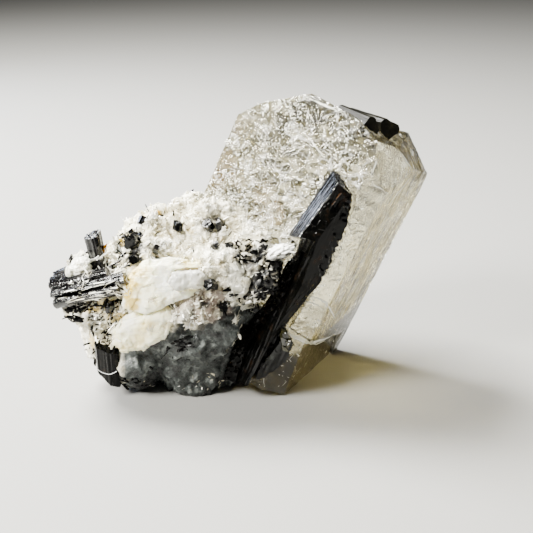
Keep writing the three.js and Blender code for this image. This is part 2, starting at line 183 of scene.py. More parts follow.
def piece(name, corners, faces, look, replaces=(), smooth=True, crisp=0):
    """A part of the specimen, in place, with its material. Edges over crisp degrees stay sharp."""
    # No corner leaves the box of the solids.
    low, high = np.array(solid_box) / MM
    made = bpy.data.objects.new(name, mesh_from(name, np.clip(corners, low, high), faces))
    bpy.context.scene.collection.objects.link(made)
    made.data.polygons.foreach_set("use_smooth", [smooth] * len(made.data.polygons))
    if smooth and crisp:
        made.data.set_sharp_from_angle(angle=math.radians(crisp))
    made.data.materials.append(look)
    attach(made, "root")
    if replaces:
        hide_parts(*replaces)
    return made


def marked(made, name, values):
    """Keeps a number for each corner of a piece, which its material reads by name."""
    kept = made.data.attributes.new(name, "FLOAT", "POINT")
    kept.data.foreach_set("value", np.asarray(values, np.float32))


def tree_of(corners, faces):
    """A skin as a search tree in metres, for lines of sight and nearest places."""
    return BVHTree.FromPolygons((corners * MM).tolist(), faces)


def spaced(line, steps):
    """Places on a line through some points, where each step counts points from its start."""
    rows = [np.interp(steps, range(len(line)), line[:, k]) for k in range(line.shape[1])]
    return np.stack(rows, -1)


def unit(rows):
    """Directions made one long."""
    return rows / np.maximum(np.linalg.norm(rows, axis=-1, keepdims=True), 1e-9)


def turned_frame(ways, spin):
    """Two directions square to each way, turned round it."""
    helper = np.where(np.abs(ways[:, 2:]) < 0.9, [[0.0, 0.0, 1.0]], [[1.0, 0.0, 0.0]])
    u = unit(np.cross(ways, helper))
    w = np.cross(ways, u)
    c, s = np.cos(spin)[:, None], np.sin(spin)[:, None]
    return u * c + w * s, w * c - u * s


def small_crystals(name, look, feet, ways, sizes, spin, sides=6, taper=0.8, slant=0.4):
    """A piece of many straight little crystals, each growing from its foot along its way.

    Their tips are narrower by the taper, and cut off at a slant.
    """
    lengths, widths, depths = sizes
    u, w = turned_frame(unit(ways), spin)
    rings = []
    for end, size in ((0.0, 1.0), (1.0, taper)):
        for k in range(sides):
            a = 2 * math.pi * (k + 0.5) / sides
            out = u * (widths * 0.5 * size * math.cos(a))[:, None]
            out = out + w * (depths * 0.5 * size * math.sin(a))[:, None]
            rise = lengths * end + end * slant * widths * math.cos(a)
            rings.append(feet + out + unit(ways) * rise[:, None])
    faces = []
    for foot in range(0, 2 * sides * len(feet), 2 * sides):
        tip = foot + sides
        for k in range(sides):
            after = (k + 1) % sides
            faces.append((foot + k, foot + after, tip + after, tip + k))
        faces += [tuple(reversed(range(foot, tip))), tuple(range(tip, tip + sides))]
    piece(name, np.stack(rings, 1).reshape(-1, 3), faces, look, smooth=False)


def on_skin(corners, faces, count, seed, wanted=None):
    """Places spread over a surface: points and normals. wanted gives the share kept at each."""
    f = np.array([q[:3] for q in faces])
    a, b, c = corners[f[:, 0]], corners[f[:, 1]], corners[f[:, 2]]
    square = np.cross(b - a, c - a)
    area = np.linalg.norm(square, axis=-1)
    if wanted is not None:
        area = area * wanted((a + b + c) / 3, unit(square))
    rng = np.random.default_rng(seed)
    picked = rng.choice(len(f), count, p=area / area.sum())
    r = rng.random((count, 2))
    r = np.where(r.sum(1, keepdims=True) > 1, 1 - r, r)
    points = a[picked] + (b - a)[picked] * r[:, :1] + (c - a)[picked] * r[:, 1:]
    return points, unit(square[picked])


# Materials


def colour(tone):
    """Linear red, green, blue and alpha of an sRGB hex code, or of a number for a grey."""
    linear = [tone] * 3
    if isinstance(tone, str):
        parts = [int(tone[i : i + 2], 16) / 255 for i in (1, 3, 5)]
        linear = [p / 12.92 if p <= 0.04045 else ((p + 0.055) / 1.055) ** 2.4 for p in parts]
    return (*linear, 1.0)


def per_metre(millimetres):
    """The scale that makes a pattern repeat about every so many millimetres."""
    return 1 / (millimetres * MM)


# The sockets of a Mix node for colours share their names with others, so they go by number.
SHARE, UNDER, OVER, MIXED = 0, 6, 7, 2


def add(tree, kind, inputs, output=0, stops=(), **settings):
    """Adds a node and gives one of its outputs. Inputs are values, or outputs to link."""
    made = tree.nodes.new("ShaderNode" + kind)
    for name, value in settings.items():
        setattr(made, name, value)
    for name, value in inputs.items():
        if isinstance(value, bpy.types.NodeSocket):
            tree.links.new(value, made.inputs[name])
        else:
            made.inputs[name].default_value = value
    if stops:
        # A new colour ramp has two stops, which become the first and the last.
        bar = made.color_ramp.elements
        for element, (place, tone) in ((bar[0], stops[0]), (bar[1], stops[-1])):
            element.position = place
            element.color = colour(tone)
        for place, tone in stops[1:-1]:
            bar.new(place).color = colour(tone)
    return made.outputs[output] if made.outputs else made


def material(name):
    """A new empty material and its node tree."""
    made = bpy.data.materials.new(name)
    made.use_nodes = True
    made.node_tree.nodes.clear()
    return made, made.node_tree


def surfaced(made, values, inside=None):
    """Ends a material: its surface has these values, and the inside fills its body."""
    tree = made.node_tree
    surface = add(tree, "BsdfPrincipled", values)
    add(tree, "OutputMaterial", {"Surface": surface, **({"Volume": inside} if inside else {})})
    return made


def lengthwise(tree, place, turn, share):
    """Places turned so that z runs along a crystal and squeezed that way, to draw patterns out."""
    turned = add(
        tree, "VectorRotate", {"Vector": place, "Rotation": turn}, rotation_type="EULER_XYZ", invert=True
    )
    return add(tree, "Mapping", {"Vector": turned, "Scale": (1.0, 1.0, share)})


def stained(tree, tone, stains):
    """A tone under stains, each as strong as the piece's number of that name."""
    for name, over in stains:
        share = add(tree, "Attribute", {}, "Fac", attribute_name=name)
        tone = add(tree, "Mix", {SHARE: share, UNDER: tone, OVER: over}, MIXED, data_type="RGBA")
    return tone


def bent(tree, place, millimetres, reach):
    """A place moved about by noise, so that a pattern of straight lines wanders."""
    noise = {"Vector": place, "Scale": per_metre(millimetres), "Detail": 3.0}
    wander = add(tree, "TexNoise", noise, "Color")
    far = (reach * MM, reach * MM, reach * MM)
    return add(tree, "VectorMath", {0: wander, 1: far, 2: place}, operation="MULTIPLY_ADD")


def etch_facets(tree, place, millimetres, stretch, line):
    """Small flat etch facets: their relief, a tone of their own, and the thin lines between them."""
    moved = bent(tree, place, millimetres * 1.2, millimetres * 1.3)
    drawn = add(tree, "Mapping", {"Vector": moved, "Rotation": (0.4, 0.9, 0.2), "Scale": stretch})
    where = {"Vector": drawn, "Scale": per_metre(millimetres)}
    rise = add(tree, "TexVoronoi", where, feature="F1")
    own = add(tree, "TexVoronoi", where, "Color", feature="F1")
    edge = add(tree, "TexVoronoi", where, feature="DISTANCE_TO_EDGE")
    near = {"Value": edge, "From Min": 0.0, "From Max": line, "To Min": 1.0, "To Max": 0.0}
    return rise, add(tree, "SeparateColor", {"Color": own}), add(tree, "MapRange", near)


def etched_topaz():
    """Topaz, etched by hot water as it grew: clear and pale cream, netted with fine white lines."""
    made, tree = material("etched_topaz")
    place = add(tree, "TexCoord", {}, "Object")
    etching, ribbing, pane = (
        add(tree, "Attribute", {}, "Fac", attribute_name=name)
        for name in ("etching", "ribbing", "calm_pane")
    )
    noise = {"Vector": place, "Scale": per_metre(2.2), "Detail": 4.0, "Roughness": 0.6}
    patches = add(tree, "TexNoise", noise)
    # The real facets go down to 0.1 mm. The finest here are coarser, so that they still show.
    rise_a, own_a, lines_a = etch_facets(tree, place, 2.0, (1.0, 0.5, 1.0), 0.045)
    rise_b, own_b, lines_b = etch_facets(tree, place, 0.9, (0.5, 1.0, 1.0), 0.08)
    lines = add(tree, "Math", {0: lines_a, 1: lines_b}, operation="MAXIMUM")
    gate = add(tree, "ValToRGB", {"Fac": patches}, stops=[(0.46, 0.0), (0.60, 1.0)])
    shown = add(tree, "Math", {0: lines, 1: gate}, operation="MULTIPLY")
    net = add(tree, "Math", {0: shown, 1: etching}, operation="MULTIPLY")
    # Facets that pass light from a darker side look darker: each has its own tone.
    own = add(tree, "Math", {0: own_a, 1: own_b}, operation="MULTIPLY")
    facet_stops = [(0.0, "#26241a"), (0.18, "#75725c"), (0.40, "#fffef6")]
    facet_tone = add(tree, "ValToRGB", {"Fac": own}, stops=facet_stops)
    # Growth ribs run up the prism faces, brown in their grooves and pale yellow on top.
    drawn = lengthwise(tree, place, (0.0, TOPAZ_LEAN, 0.0), 0.06)
    noise = {"Vector": drawn, "Scale": per_metre(0.9), "Detail": 5.0, "Roughness": 0.75}
    ribs = add(tree, "TexNoise", noise)
    rib_stops = [(0.42, "#5c5024"), (0.50, "#d3c382"), (0.58, "#fdeeb4")]
    rib_tone = add(tree, "ValToRGB", {"Fac": ribs}, stops=rib_stops)
    # The foot under the ledge is painted darker and olive as shade, the left edge has a warm haze, and
    # dark slits low on the right side are painted near black, partly as the shade seen through them.
    tone = stained(
        tree,
        colour("#f1efdf"),
        [
            ("etching", facet_tone),
            ("ribbing", rib_tone),
            ("foot_shade_and_olive_haze", colour("#585340")),
            ("warm_haze", colour("#e2bd92")),
            # The calm panes are painted grey, as shade that stands in for the dark seen through them.
            ("calm_pane", colour("#a9a697")),
            ("dark_slit", colour("#1d1a12")),
        ],
    )
    white_net = {SHARE: net, UNDER: tone, OVER: colour("#ffffff")}
    tone = add(tree, "Mix", white_net, MIXED, data_type="RGBA")
    # The highest ribs are bruised and white, so they pass little light, as the net does.
    worn = add(tree, "ValToRGB", {"Fac": ribs}, stops=[(0.57, 0.0), (0.63, 1.0)])
    worn = add(tree, "Math", {0: worn, 1: ribbing}, operation="MULTIPLY")
    milky = add(tree, "Math", {0: net, 1: worn}, operation="MAXIMUM")
    limits = {"From Min": 0.0, "From Max": 1.0, "To Min": 1.0, "To Max": 0.25}
    clear = add(tree, "MapRange", {"Value": milky, **limits})
    limits = {"From Min": 0.45, "From Max": 0.75, "To Min": 0.01, "To Max": 0.08}
    frost = add(tree, "MapRange", {"Value": patches, **limits})
    frost = add(tree, "Math", {0: pane, 1: 0.3, 2: frost}, operation="MULTIPLY_ADD")
    rise = add(tree, "Math", {0: rise_a, 1: rise_b}, operation="ADD")
    relief = add(tree, "Bump", {"Strength": etching, "Distance": 0.5 * MM, "Height": rise})
    ribbed = {"Strength": ribbing, "Distance": 0.16 * MM, "Height": ribs, "Normal": relief}
    values = {
        "Base Color": tone,
        "Roughness": frost,
        "IOR": 1.62,
        "Transmission Weight": clear,
        "Normal": add(tree, "Bump", ribbed),
    }
    # A faint cream tint that grows with the thickness the eye looks through
    inside = add(tree, "VolumeAbsorption", {"Color": colour("#e8dfb2"), "Density": 40.0})
    return surfaced(made, values, inside)


def plain_look(name, tone, values):
    """A material of one colour, for things too small or too plain to show a pattern."""
    return surfaced(material(name)[0], {"Base Color": colour(tone), **values})


def etch_look(name, tone):
    """Lines and flakes on the topaz: glassy like it, but bright or dark as a whole."""
    return plain_look(name, tone, {"Roughness": 0.22, "IOR": 1.62})


def albite_plate_white():
    """Albite plates: white, half clear and pearly on their flat sides."""
    made, tree = material("albite_plates")
    place = add(tree, "TexCoord", {}, "Object")
    cloud = add(tree, "TexNoise", {"Vector": place, "Scale": per_metre(2.4), "Detail": 4.0})
    stops = [(0.35, "#d9d0b2"), (0.5, "#f7f3e0"), (0.68, "#fffffa")]
    tone = add(tree, "ValToRGB", {"Fac": cloud}, stops=stops)
    return surfaced(
        made, {"Base Color": tone, "Roughness": 0.16, "IOR": 1.6, "Transmission Weight": 0.15}
    )


def black_tourmaline(name, axis, shine=0.2, tints=("#030303", "#060606", "#150f09"), dull=0.0):
    """Schorl, the black tourmaline: glassy and near black, with fine ribs along its length.

    The real ribs are about 0.05 mm apart. Here they are 0.22 mm, so that they still show.
    """
    made, tree = material(name)
    place = add(tree, "TexCoord", {}, "Object")
    turn = Vector(axis).to_track_quat("Z", "Y").to_euler()
    drawn = lengthwise(tree, place, turn, 0.03)
    noise = {"Vector": drawn, "Scale": per_metre(0.22), "Detail": 5.0, "Roughness": 0.6}
    ribs = add(tree, "TexNoise", noise)
    wear = add(tree, "TexNoise", {"Vector": place, "Scale": per_metre(1.3), "Detail": 4.0})
    gloss = add(tree, "ValToRGB", {"Fac": wear}, stops=[(0.4, 0.07 + dull), (0.66, 0.24 + dull)])
    tone = add(tree, "ValToRGB", {"Fac": wear}, stops=list(zip((0.38, 0.58, 0.76), tints)))
    values = {
        "Base Color": tone,
        "Roughness": gloss,
        "IOR": 1.64,
        "Specular IOR Level": shine,
        "Normal": add(tree, "Bump", {"Strength": 0.6, "Distance": 0.06 * MM, "Height": ribs}),
    }
    return surfaced(made, values)


def sugary_albite():
    """Albite feldspar, grown as a mass of fine plates: white and dull, with grey and rusty parts."""
    made, tree = material("sugary_albite")
    place = add(tree, "TexCoord", {}, "Object")
    noise = {"Vector": place, "Scale": per_metre(3.5), "Detail": 6.0, "Roughness": 0.6}
    cloud = add(tree, "TexNoise", noise)
    stops = [(0.30, "#b5ad8e"), (0.42, "#e6dfc4"), (0.56, "#fcf8e8"), (0.72, "#efe4bf")]
    tone = add(tree, "ValToRGB", {"Fac": cloud}, stops=stops)
    # Its front under the slabs is painted dark grey and its hollows darker, as shade. Among tourmaline
    # it is dark with black dust, in the seam by the long prism and along the bottom edge as painted
    # shade, and iron has stained the cracks yellow.
    noise = {"Vector": bent(tree, place, 1.5, 2.0), "Scale": per_metre(1.4), "Detail": 6.0}
    veil = add(tree, "TexNoise", noise)
    stops = [(0.34, "#141615"), (0.52, "#343937"), (0.70, "#7c817d")]
    painted_shade = add(tree, "ValToRGB", {"Fac": veil}, stops=stops)
    tone = stained(
        tree,
        tone,
        [
            ("painted_hollow_shade", colour("#8f866a")),
            ("painted_front_shade", painted_shade),
            ("brown_crumb", colour("#6f5a4e")),
            ("iron_stain", colour("#d2b24a")),
            ("black_dust_and_shade", colour("#0b0b0a")),
        ],
    )
    noise = {"Vector": place, "Scale": per_metre(0.32), "Randomness": 1.0}
    plates = add(tree, "TexVoronoi", noise, feature="F1")
    crumb = add(tree, "TexNoise", {"Vector": place, "Scale": per_metre(0.18), "Detail": 4.0})
    height = add(tree, "Math", {0: plates, 1: crumb}, operation="ADD")
    values = {
        "Base Color": tone,
        "Roughness": add(tree, "ValToRGB", {"Fac": plates}, stops=[(0.1, 0.2), (0.6, 0.6)]),
        "IOR": 1.53,
        "Normal": add(tree, "Bump", {"Strength": 0.7, "Distance": 0.09 * MM, "Height": height}),
        "Subsurface Weight": 0.1,
        "Subsurface Radius": (1.0, 0.9, 0.8),
        "Subsurface Scale": 0.6 * MM,
    }
    return surfaced(made, values)


def cream_feldspar():
    """Feldspar cleaved along its flat planes: cream, satin, with fine fibres and rusty edges."""
    made, tree = material("cream_feldspar")
    place = add(tree, "TexCoord", {}, "Object")
    noise = {"Vector": place, "Scale": per_metre(4.0), "Detail": 5.0, "Roughness": 0.55}
    cloud = add(tree, "TexNoise", noise)
    stops = [(0.34, "#e6d79a"), (0.48, "#fff8d2"), (0.66, "#fffeec")]
    tone = add(tree, "ValToRGB", {"Fac": cloud}, stops=stops)
    flat = {"Vector": place, "Rotation": (0.0, 0.6, 0.2), "Scale": (0.12, 1.0, 1.0)}
    drawn = add(tree, "Mapping", flat)
    noise = {"Vector": drawn, "Scale": per_metre(0.25), "Detail": 5.0, "Roughness": 0.65}
    fibres = add(tree, "TexNoise", noise)
    values = {
        "Base Color": stained(tree, tone, [("iron_stain", colour("#cdb045"))]),
        "Roughness": add(tree, "ValToRGB", {"Fac": fibres}, stops=[(0.35, 0.2), (0.65, 0.45)]),
        "IOR": 1.53,
        "Normal": add(tree, "Bump", {"Strength": 0.9, "Distance": 0.14 * MM, "Height": fibres}),
        "Subsurface Weight": 0.35,
        "Subsurface Radius": (1.0, 0.85, 0.6),
        "Subsurface Scale": 0.9 * MM,
    }
    return surfaced(made, values)


def striped_feldspar(name, axis):
    """Feldspar cleaved in thin parallel sheets, seen edge on: fine grey and white lines.

    The real sheets are about 0.1 mm thick. Here they are 0.3 mm, so that they still show.
    """
    made, tree = material(name)
    place = add(tree, "TexCoord", {}, "Object")
    drawn = lengthwise(tree, place, Vector(axis).to_track_quat("Z", "Y").to_euler(), 0.07)
    sheets = add(tree, "TexNoise", {"Vector": drawn, "Scale": per_metre(0.32), "Detail": 4.0})
    stops = [(0.41, "#1c1c19"), (0.49, "#8e8c80"), (0.57, "#fffffa")]
    values = {
        "Base Color": add(tree, "ValToRGB", {"Fac": sheets}, stops=stops),
        "Roughness": 0.16,
        "IOR": 1.53,
        "Normal": add(tree, "Bump", {"Strength": 1.0, "Distance": 0.15 * MM, "Height": sheets}),
    }
    return surfaced(made, values)


def milky_quartz(name, dark, light, clear):
    """A half clear mineral, clouded by tiny bubbles and cracks."""
    made, tree = material(name)
    place = add(tree, "TexCoord", {}, "Object")
    cloud = add(tree, "TexNoise", {"Vector": place, "Scale": per_metre(1.6), "Detail": 5.0})
    values = {
        "Base Color": add(tree, "ValToRGB", {"Fac": cloud}, stops=[(0.35, dark), (0.62, light)]),
        "Roughness": 0.28,
        "IOR": 1.544,
        "Transmission Weight": clear,
        "Normal": add(tree, "Bump", {"Strength": 0.8, "Distance": 0.2 * MM, "Height": cloud}),
    }
    return surfaced(made, values)


def stained_mica(code):
    """Mica flakes: thin, pearly and stained by iron, darker in patches."""
    made, tree = material(f"stained_mica_{code[1:]}")
    place = add(tree, "TexCoord", {}, "Object")
    cloud = add(tree, "TexNoise", {"Vector": place, "Scale": per_metre(0.5), "Detail": 3.0})
    shade = add(tree, "ValToRGB", {"Fac": cloud}, stops=[(0.4, 0.35), (0.6, 1.0)])
    parts = {SHARE: 1.0, UNDER: colour(code), OVER: shade}
    tone = add(tree, "Mix", parts, MIXED, data_type="RGBA", blend_type="MULTIPLY")
    values = {"Base Color": tone, "Roughness": 0.18, "IOR": 1.58, "Coat Weight": 0.4}
    return surfaced(made, values)


# Camera, table and light


def look_from(position, target):
    """The turn that points a camera or a lamp at a target."""
    return Vector(target - position).to_track_quat("-Z", "Y").to_euler()


def camera():
    """The photograph's camera, with a full-frame sensor."""
    lens = bpy.data.cameras.new("photo_camera")
    lens.sensor_width = 36.0
    lens.lens = 36.0 * FOCAL_PIXELS / PHOTO_PIXELS
    lens.clip_start = 0.005
    lens.clip_end = 10.0
    made = bpy.data.objects.new("photo_camera", lens)
    made.location = Vector(CAMERA_AT * MM)
    made.rotation_euler = look_from(CAMERA_AT, CAMERA_TARGET)
    bpy.context.scene.collection.objects.link(made)
    bpy.context.scene.camera = made


def softbox(name, position, target, width, height, watts, tint):
    """A lit rectangle, with its sizes and places in mm."""
    light = bpy.data.lights.new(name, "AREA")
    light.shape = "RECTANGLE"
    light.size = width * MM
    light.size_y = height * MM
    light.energy = watts
    light.color = colour(tint)[:3]
    made = bpy.data.objects.new(name, light)
    made.location = Vector(position) * MM
    made.rotation_euler = look_from(np.array(position, float), np.array(target, float))
    bpy.context.scene.collection.objects.link(made)


def table():
    """A plain table that reaches past all the camera sees."""
    reach = 3000
    corners = [(-reach, -reach, 0), (reach, -reach, 0), (reach, reach, 0), (-reach, reach, 0)]
    made = bpy.data.objects.new("table", mesh_from("table", corners, [(0, 1, 2, 3)]))
    bpy.context.scene.collection.objects.link(made)
    # Matt grey paper, which the windows make look pale
    made.data.materials.append(plain_look("pale_table", "#8c8b88", {"Roughness": 0.9}))


def studio():
    """A big window high at the left and a little behind, one at the left in front, a low bluish one
    behind, and a weak fill from all around."""
    softbox("window", (-130, 90, 260), (0, 0, 15), 130, 130, 8.4, "#fffef8")
    softbox("side_window", (-190, -120, 190), (0, 0, 18), 80, 80, 3.2, "#fffdf6")
    softbox("low_window", (-200, 150, 60), (0, 0, 24), 170, 130, 1.1, "#dde6fb")
    world = bpy.data.worlds.new("studio")
    bpy.context.scene.world = world
    world.use_nodes = True
    fill = world.node_tree.nodes["Background"].inputs
    fill["Color"].default_value = colour("#dcdcda")
    fill["Strength"].default_value = 0.1


def sight(x, y):
    """The way from the camera through a pixel of the photograph."""
    half = PHOTO_PIXELS / 2
    pixel = Vector(((x - half) / FOCAL_PIXELS, (half - y) / FOCAL_PIXELS, -1.0))
    return bpy.context.scene.camera.rotation_euler.to_matrix() @ pixel


def ray_point(x, y, depth):
    """The place on the line of sight through a pixel, at a depth along y in mm."""
    ray = np.array(sight(x, y))
    return CAMERA_AT + ray * (depth + LAYOUT_TO_FRAME[1] - CAMERA_AT[1]) / ray[1]


def place_seen(x, y, trees, carriers=None):
    """The place in mm and the normal seen at a pixel, if one of the first so many trees carries it."""
    best = None
    for which, tree in enumerate(trees):
        hit, normal, _, gap = tree.ray_cast(Vector(CAMERA_AT * MM), sight(x, y).normalized())
        if hit is not None and (best is None or gap < best[0]):
            best = (gap, which, np.array(hit) / MM, np.array(normal))
    if best is None or (carriers is not None and best[1] >= carriers):
        return None
    return best[2:]


def pixels_of(points):
    """Where points in mm fall on the photograph."""
    turn = np.array(bpy.context.scene.camera.rotation_euler.to_matrix())
    seen = (points - CAMERA_AT) @ turn
    half = PHOTO_PIXELS / 2
    x = half - FOCAL_PIXELS * seen[:, 0] / seen[:, 2]
    return x, half + FOCAL_PIXELS * seen[:, 1] / seen[:, 2]


def inside(outline, x, y):
    """Whether photo places lie inside an outline."""
    corners = np.array(outline, float)
    crossings = np.zeros(np.shape(x), int)
    for (x0, y0), (x1, y1) in zip(corners, np.roll(corners, -1, 0)):
        if y0 != y1:
            crossings += ((y0 > y) != (y1 > y)) & (x < x0 + (y - y0) * (x1 - x0) / (y1 - y0))
    return crossings % 2 == 1


# The topaz


def crystal_way(azimuth, tilt):
    """The direction a topaz face looks, from its angles about the leaning c axis."""
    a, t = math.radians(azimuth), math.radians(tilt)
    x, y, z = math.cos(a) * math.sin(t), math.sin(a) * math.sin(t), math.cos(t)
    c, s = math.cos(TOPAZ_LEAN), math.sin(TOPAZ_LEAN)
    return np.array([x * c + z * s, y, z * c - x * s])


BROAD_LEFT_FACE = crystal_way(-115.6, 90)
RIGHT_FACE = crystal_way(-29, 90)
WINDOW_FACE = crystal_way(-41.5, 68.7)
SHOULDER_FACE = crystal_way(-21, 43.3)
FRONT_FACE = np.array([0.279, -0.953, -0.121])


def share_of(normals, way, near=0.9):
    """1 where the surface looks along a way, falling to 0 at other faces."""
    return np.clip((normals @ way - near) / (1 - near) * 2, 0, 1)


# The ledge of the topaz, as a place on the photograph. Its foot below is painted darker and olive, as
# shade.
LEDGE_AT = (305, 341)


def topaz(look):
    """The crystal with its etch facets and growth ribs, and numbers that tell its look where it has
    panes painted grey as shade, haze, dark slits painted near black, and the foot under the ledge painted
    darker and olive as shade."""
    corners, normals, faces = fine_skin("topaz_crystal", 0.24, crisp=True)
    window = share_of(normals, WINDOW_FACE, 0.97)
    shoulder = share_of(normals, SHOULDER_FACE, 0.97)
    front = share_of(normals, FRONT_FACE, 0.97)
    clear = np.maximum(window, shoulder)
    broad = share_of(normals, BROAD_LEFT_FACE)
    ribbed = np.maximum(share_of(normals, RIGHT_FACE), share_of(normals, -RIGHT_FACE))
    etched = (1 - 0.95 * clear) * (1 - 0.8 * ribbed) * (1 - 0.45 * front)
    striated = along(corners, TOPAZ_C_AXIS, 24)
    height = (0.05 * swell(striated, 0.7, 11) + 0.03 * swell(striated, 0.3, 12)) * ribbed
    height += cleaved(corners, 3.2, 31, 0.03, 0.03) * etched
    height += cleaved(corners, 1.2, 41, 0.14, 0.04) * etched * (0.2 + 0.8 * broad)
    height += cleaved(corners, 0.5, 51, 0.22, 0.02) * etched * (0.2 + 0.8 * broad)
    # The relief goes in a little more than out, so that the crystal keeps to its solid.
    corners = corners + normals * (height - 0.03)[:, None]
    made = piece("topaz", corners, faces, look, ["topaz_crystal"], crisp=26)
    tree = tree_of(corners, faces)
    ledge = np.array(place_seen(*LEDGE_AT, [tree])[0])
    sloped = 0.12 * (corners[:, 0] - ledge[0])
    below = np.clip((ledge[2] - 0.9 - corners[:, 2] + sloped) / 0.7, 0, 1)
    pane = np.max([inside(outline, *pixels_of(corners)) for outline in PANES], 0)
    pane = 0.75 * pane * (normals @ unit(CAMERA_AT - corners.mean(0)) > 0.1)
    # The calm panes are painted grey as shade.
    marked(made, "calm_pane", pane)
    etching = (0.04 + 0.96 * etched * (0.3 + 0.7 * broad)) * (1 - 0.4 * below)
    marked(made, "etching", etching * (1 - 1.2 * pane))
    marked(made, "ribbing", 0.95 * ribbed)
    # The foot under the ledge is painted darker as shade, together with the olive haze.
    marked(made, "foot_shade_and_olive_haze", np.maximum(below, stain(corners, OLIVE_HAZE, 87, tree)))
    marked(made, "warm_haze", stain(corners, WARM_HAZE, 88, tree))
    # The slits are painted near black, the first two as the shade seen through a gap.
    slit_gaps = [crack_gap(corners, ends, tree) for ends in DARK_SLITS]
    marked(made, "dark_slit", np.clip(1.6 - np.min(slit_gaps, 0) / 0.22, 0, 1))
    return corners, faces


# Smooth calm panes of the topaz, as outlines on the photograph
PANES = [
    [(382.4, 151), (395.5, 145), (406.4, 157), (411.8, 173), (393.3, 188.5), (373, 175.5)],
    [(362.7, 183), (390, 194), (379, 212), (354, 201.5)],
    [(356, 208), (374.7, 213.6), (371.5, 229), (358, 219)],
    [(346, 252), (354, 250), (353, 258), (347, 261)],
]

# Tinted parts of the topaz: place in the photograph, reach in mm and strength
OLIVE_HAZE = [
    (312, 317, 3.0, 0.8), (322, 312, 2.0, 0.8), (300, 322, 1.5, 0.8), (336, 262, 1.6, 0.4),
]
WARM_HAZE = [
    (238, 128, 1.6, 0.3), (226, 158, 1.8, 0.4), (218, 180, 1.8, 0.4), (236, 178, 1.6, 0.3),
    (266, 196, 2.0, 0.3), (276, 208, 1.8, 0.3),
]

# Dark slits low on the right face, as lines on the photograph; the first two are painted shade.
DARK_SLITS = [
    [(343, 329), (337, 340), (332, 350)],
    [(351, 321), (347, 327), (343, 332)],
    [(268, 378), (274, 386)],
]

# Bright edges of the topaz that catch the light, painted white as highlights, as lines on the photograph,
# with their width in mm
EDGE_HIGHLIGHTS = [
    (0.42, [(285, 327), (288, 333), (293, 336), (300, 338), (310, 342), (320, 341), (333, 335),
            (341, 329)]),
    (0.16, [(287, 333), (296, 339), (306, 343), (316, 344), (330, 339)]),
    (0.24, [(304, 294), (312, 297), (320, 299), (326, 303), (331, 311), (335, 319), (336, 324)]),
    (0.14, [(300, 300), (309, 302), (318, 305), (325, 312)]),
    (0.14, [(398, 149), (404, 157), (411, 168), (414, 174)]),
    (0.12, [(414, 174), (403, 187), (393, 199), (388, 210)]),
    (0.12, [(372, 184), (380, 188), (388, 194)]),
    (0.14, [(383, 148), (376, 163), (370, 178)]),
    (0.18, [(304, 96), (320, 103), (335, 110), (347, 116)]),
    (0.12, [(303, 130), (312, 142), (322, 155), (331, 169)]),
    (0.14, [(408, 150), (411, 153), (414, 158)]),
    (0.9, [(409, 149), (411.5, 152), (413, 155.5)]),
    (0.5, [(283, 196), (285, 198), (287, 201)]),
    (0.16, [(423, 174), (427, 168)]),
    (0.12, [(385, 212), (375, 231), (366, 250), (357, 268)]),
    (0.10, [(392, 205), (383, 222), (371, 246)]),
    (0.10, [(350, 296), (344, 310), (339, 322)]),
]


def crack_gap(corners, line, tree):
    """How far each corner is from a line drawn on the photograph, in mm."""
    ends = [found[0] for found in (place_seen(x, y, [tree]) for x, y in line) if found]
    gaps = []
    for start, end in zip(ends, ends[1:]):
        run = end - start
        part = np.clip((corners - start) @ run / (run @ run), 0, 1)
        gaps.append(np.linalg.norm(corners - start - part[:, None] * run, axis=1))
    return np.min(gaps, 0)


# Lines on the topaz lie this far above its face, in mm.
ABOVE_FACE = 0.02


def ridges(name, paths, normals, widths, look):
    """Thin raised lines on the topaz: each path is a row of places, tapering to both ends."""
    corners, faces = [], []
    for path, out, width in zip(paths, normals, widths):
        side = unit(np.cross(out, np.gradient(path, axis=0)))
        taper = np.sin(np.linspace(0.12, math.pi - 0.12, len(path)))[:, None] ** 0.6
        start = sum(map(len, corners))
        half, crest = 0.5 * width * taper * side, 0.22 * width * taper * out
        rows = [path - half, path + crest, path + half]
        corners.append(np.stack(rows, 1).reshape(-1, 3))
        for k in range(start, start + 3 * len(path) - 3, 3):
            faces += [(k, k + 3, k + 4, k + 1), (k + 1, k + 4, k + 5, k + 2)]
    piece(name, np.concatenate(corners), faces, look, smooth=False)


def edge_highlights(skin, look):
    """White lines painted as highlights where an edge or a ledge of the topaz catches the light."""
    tree = tree_of(*skin)
    rng = np.random.default_rng(31)
    paths, normals, widths = [], [], []
    for width, line in EDGE_HIGHLIGHTS:
        line = np.array(line, float)
        steps = np.linspace(0, len(line) - 1, 6 * (len(line) - 1) + 1)
        # Each edge has three strands, which wander by about a third of a pixel.
        for _ in range(3):
            drawn = spaced(line, steps) + 0.35 * rng.normal(size=(2, len(steps))).T
            found = [place_seen(x, y, [tree]) for x, y in drawn]
            found = [f for f in found if f is not None]
            if len(found) < 5:
                continue
            first = rng.integers(0, len(found) // 3 + 1)
            last = len(found) - rng.integers(0, len(found) // 3 + 1)
            found = found[first:last] if last - first >= 4 else found
            normals.append(np.array([f[1] for f in found]))
            paths.append(np.array([f[0] for f in found]) + ABOVE_FACE * normals[-1])
            widths.append(width * (0.5 + 0.8 * rng.random()))
    ridges("edge_highlights", paths, normals, widths, look)


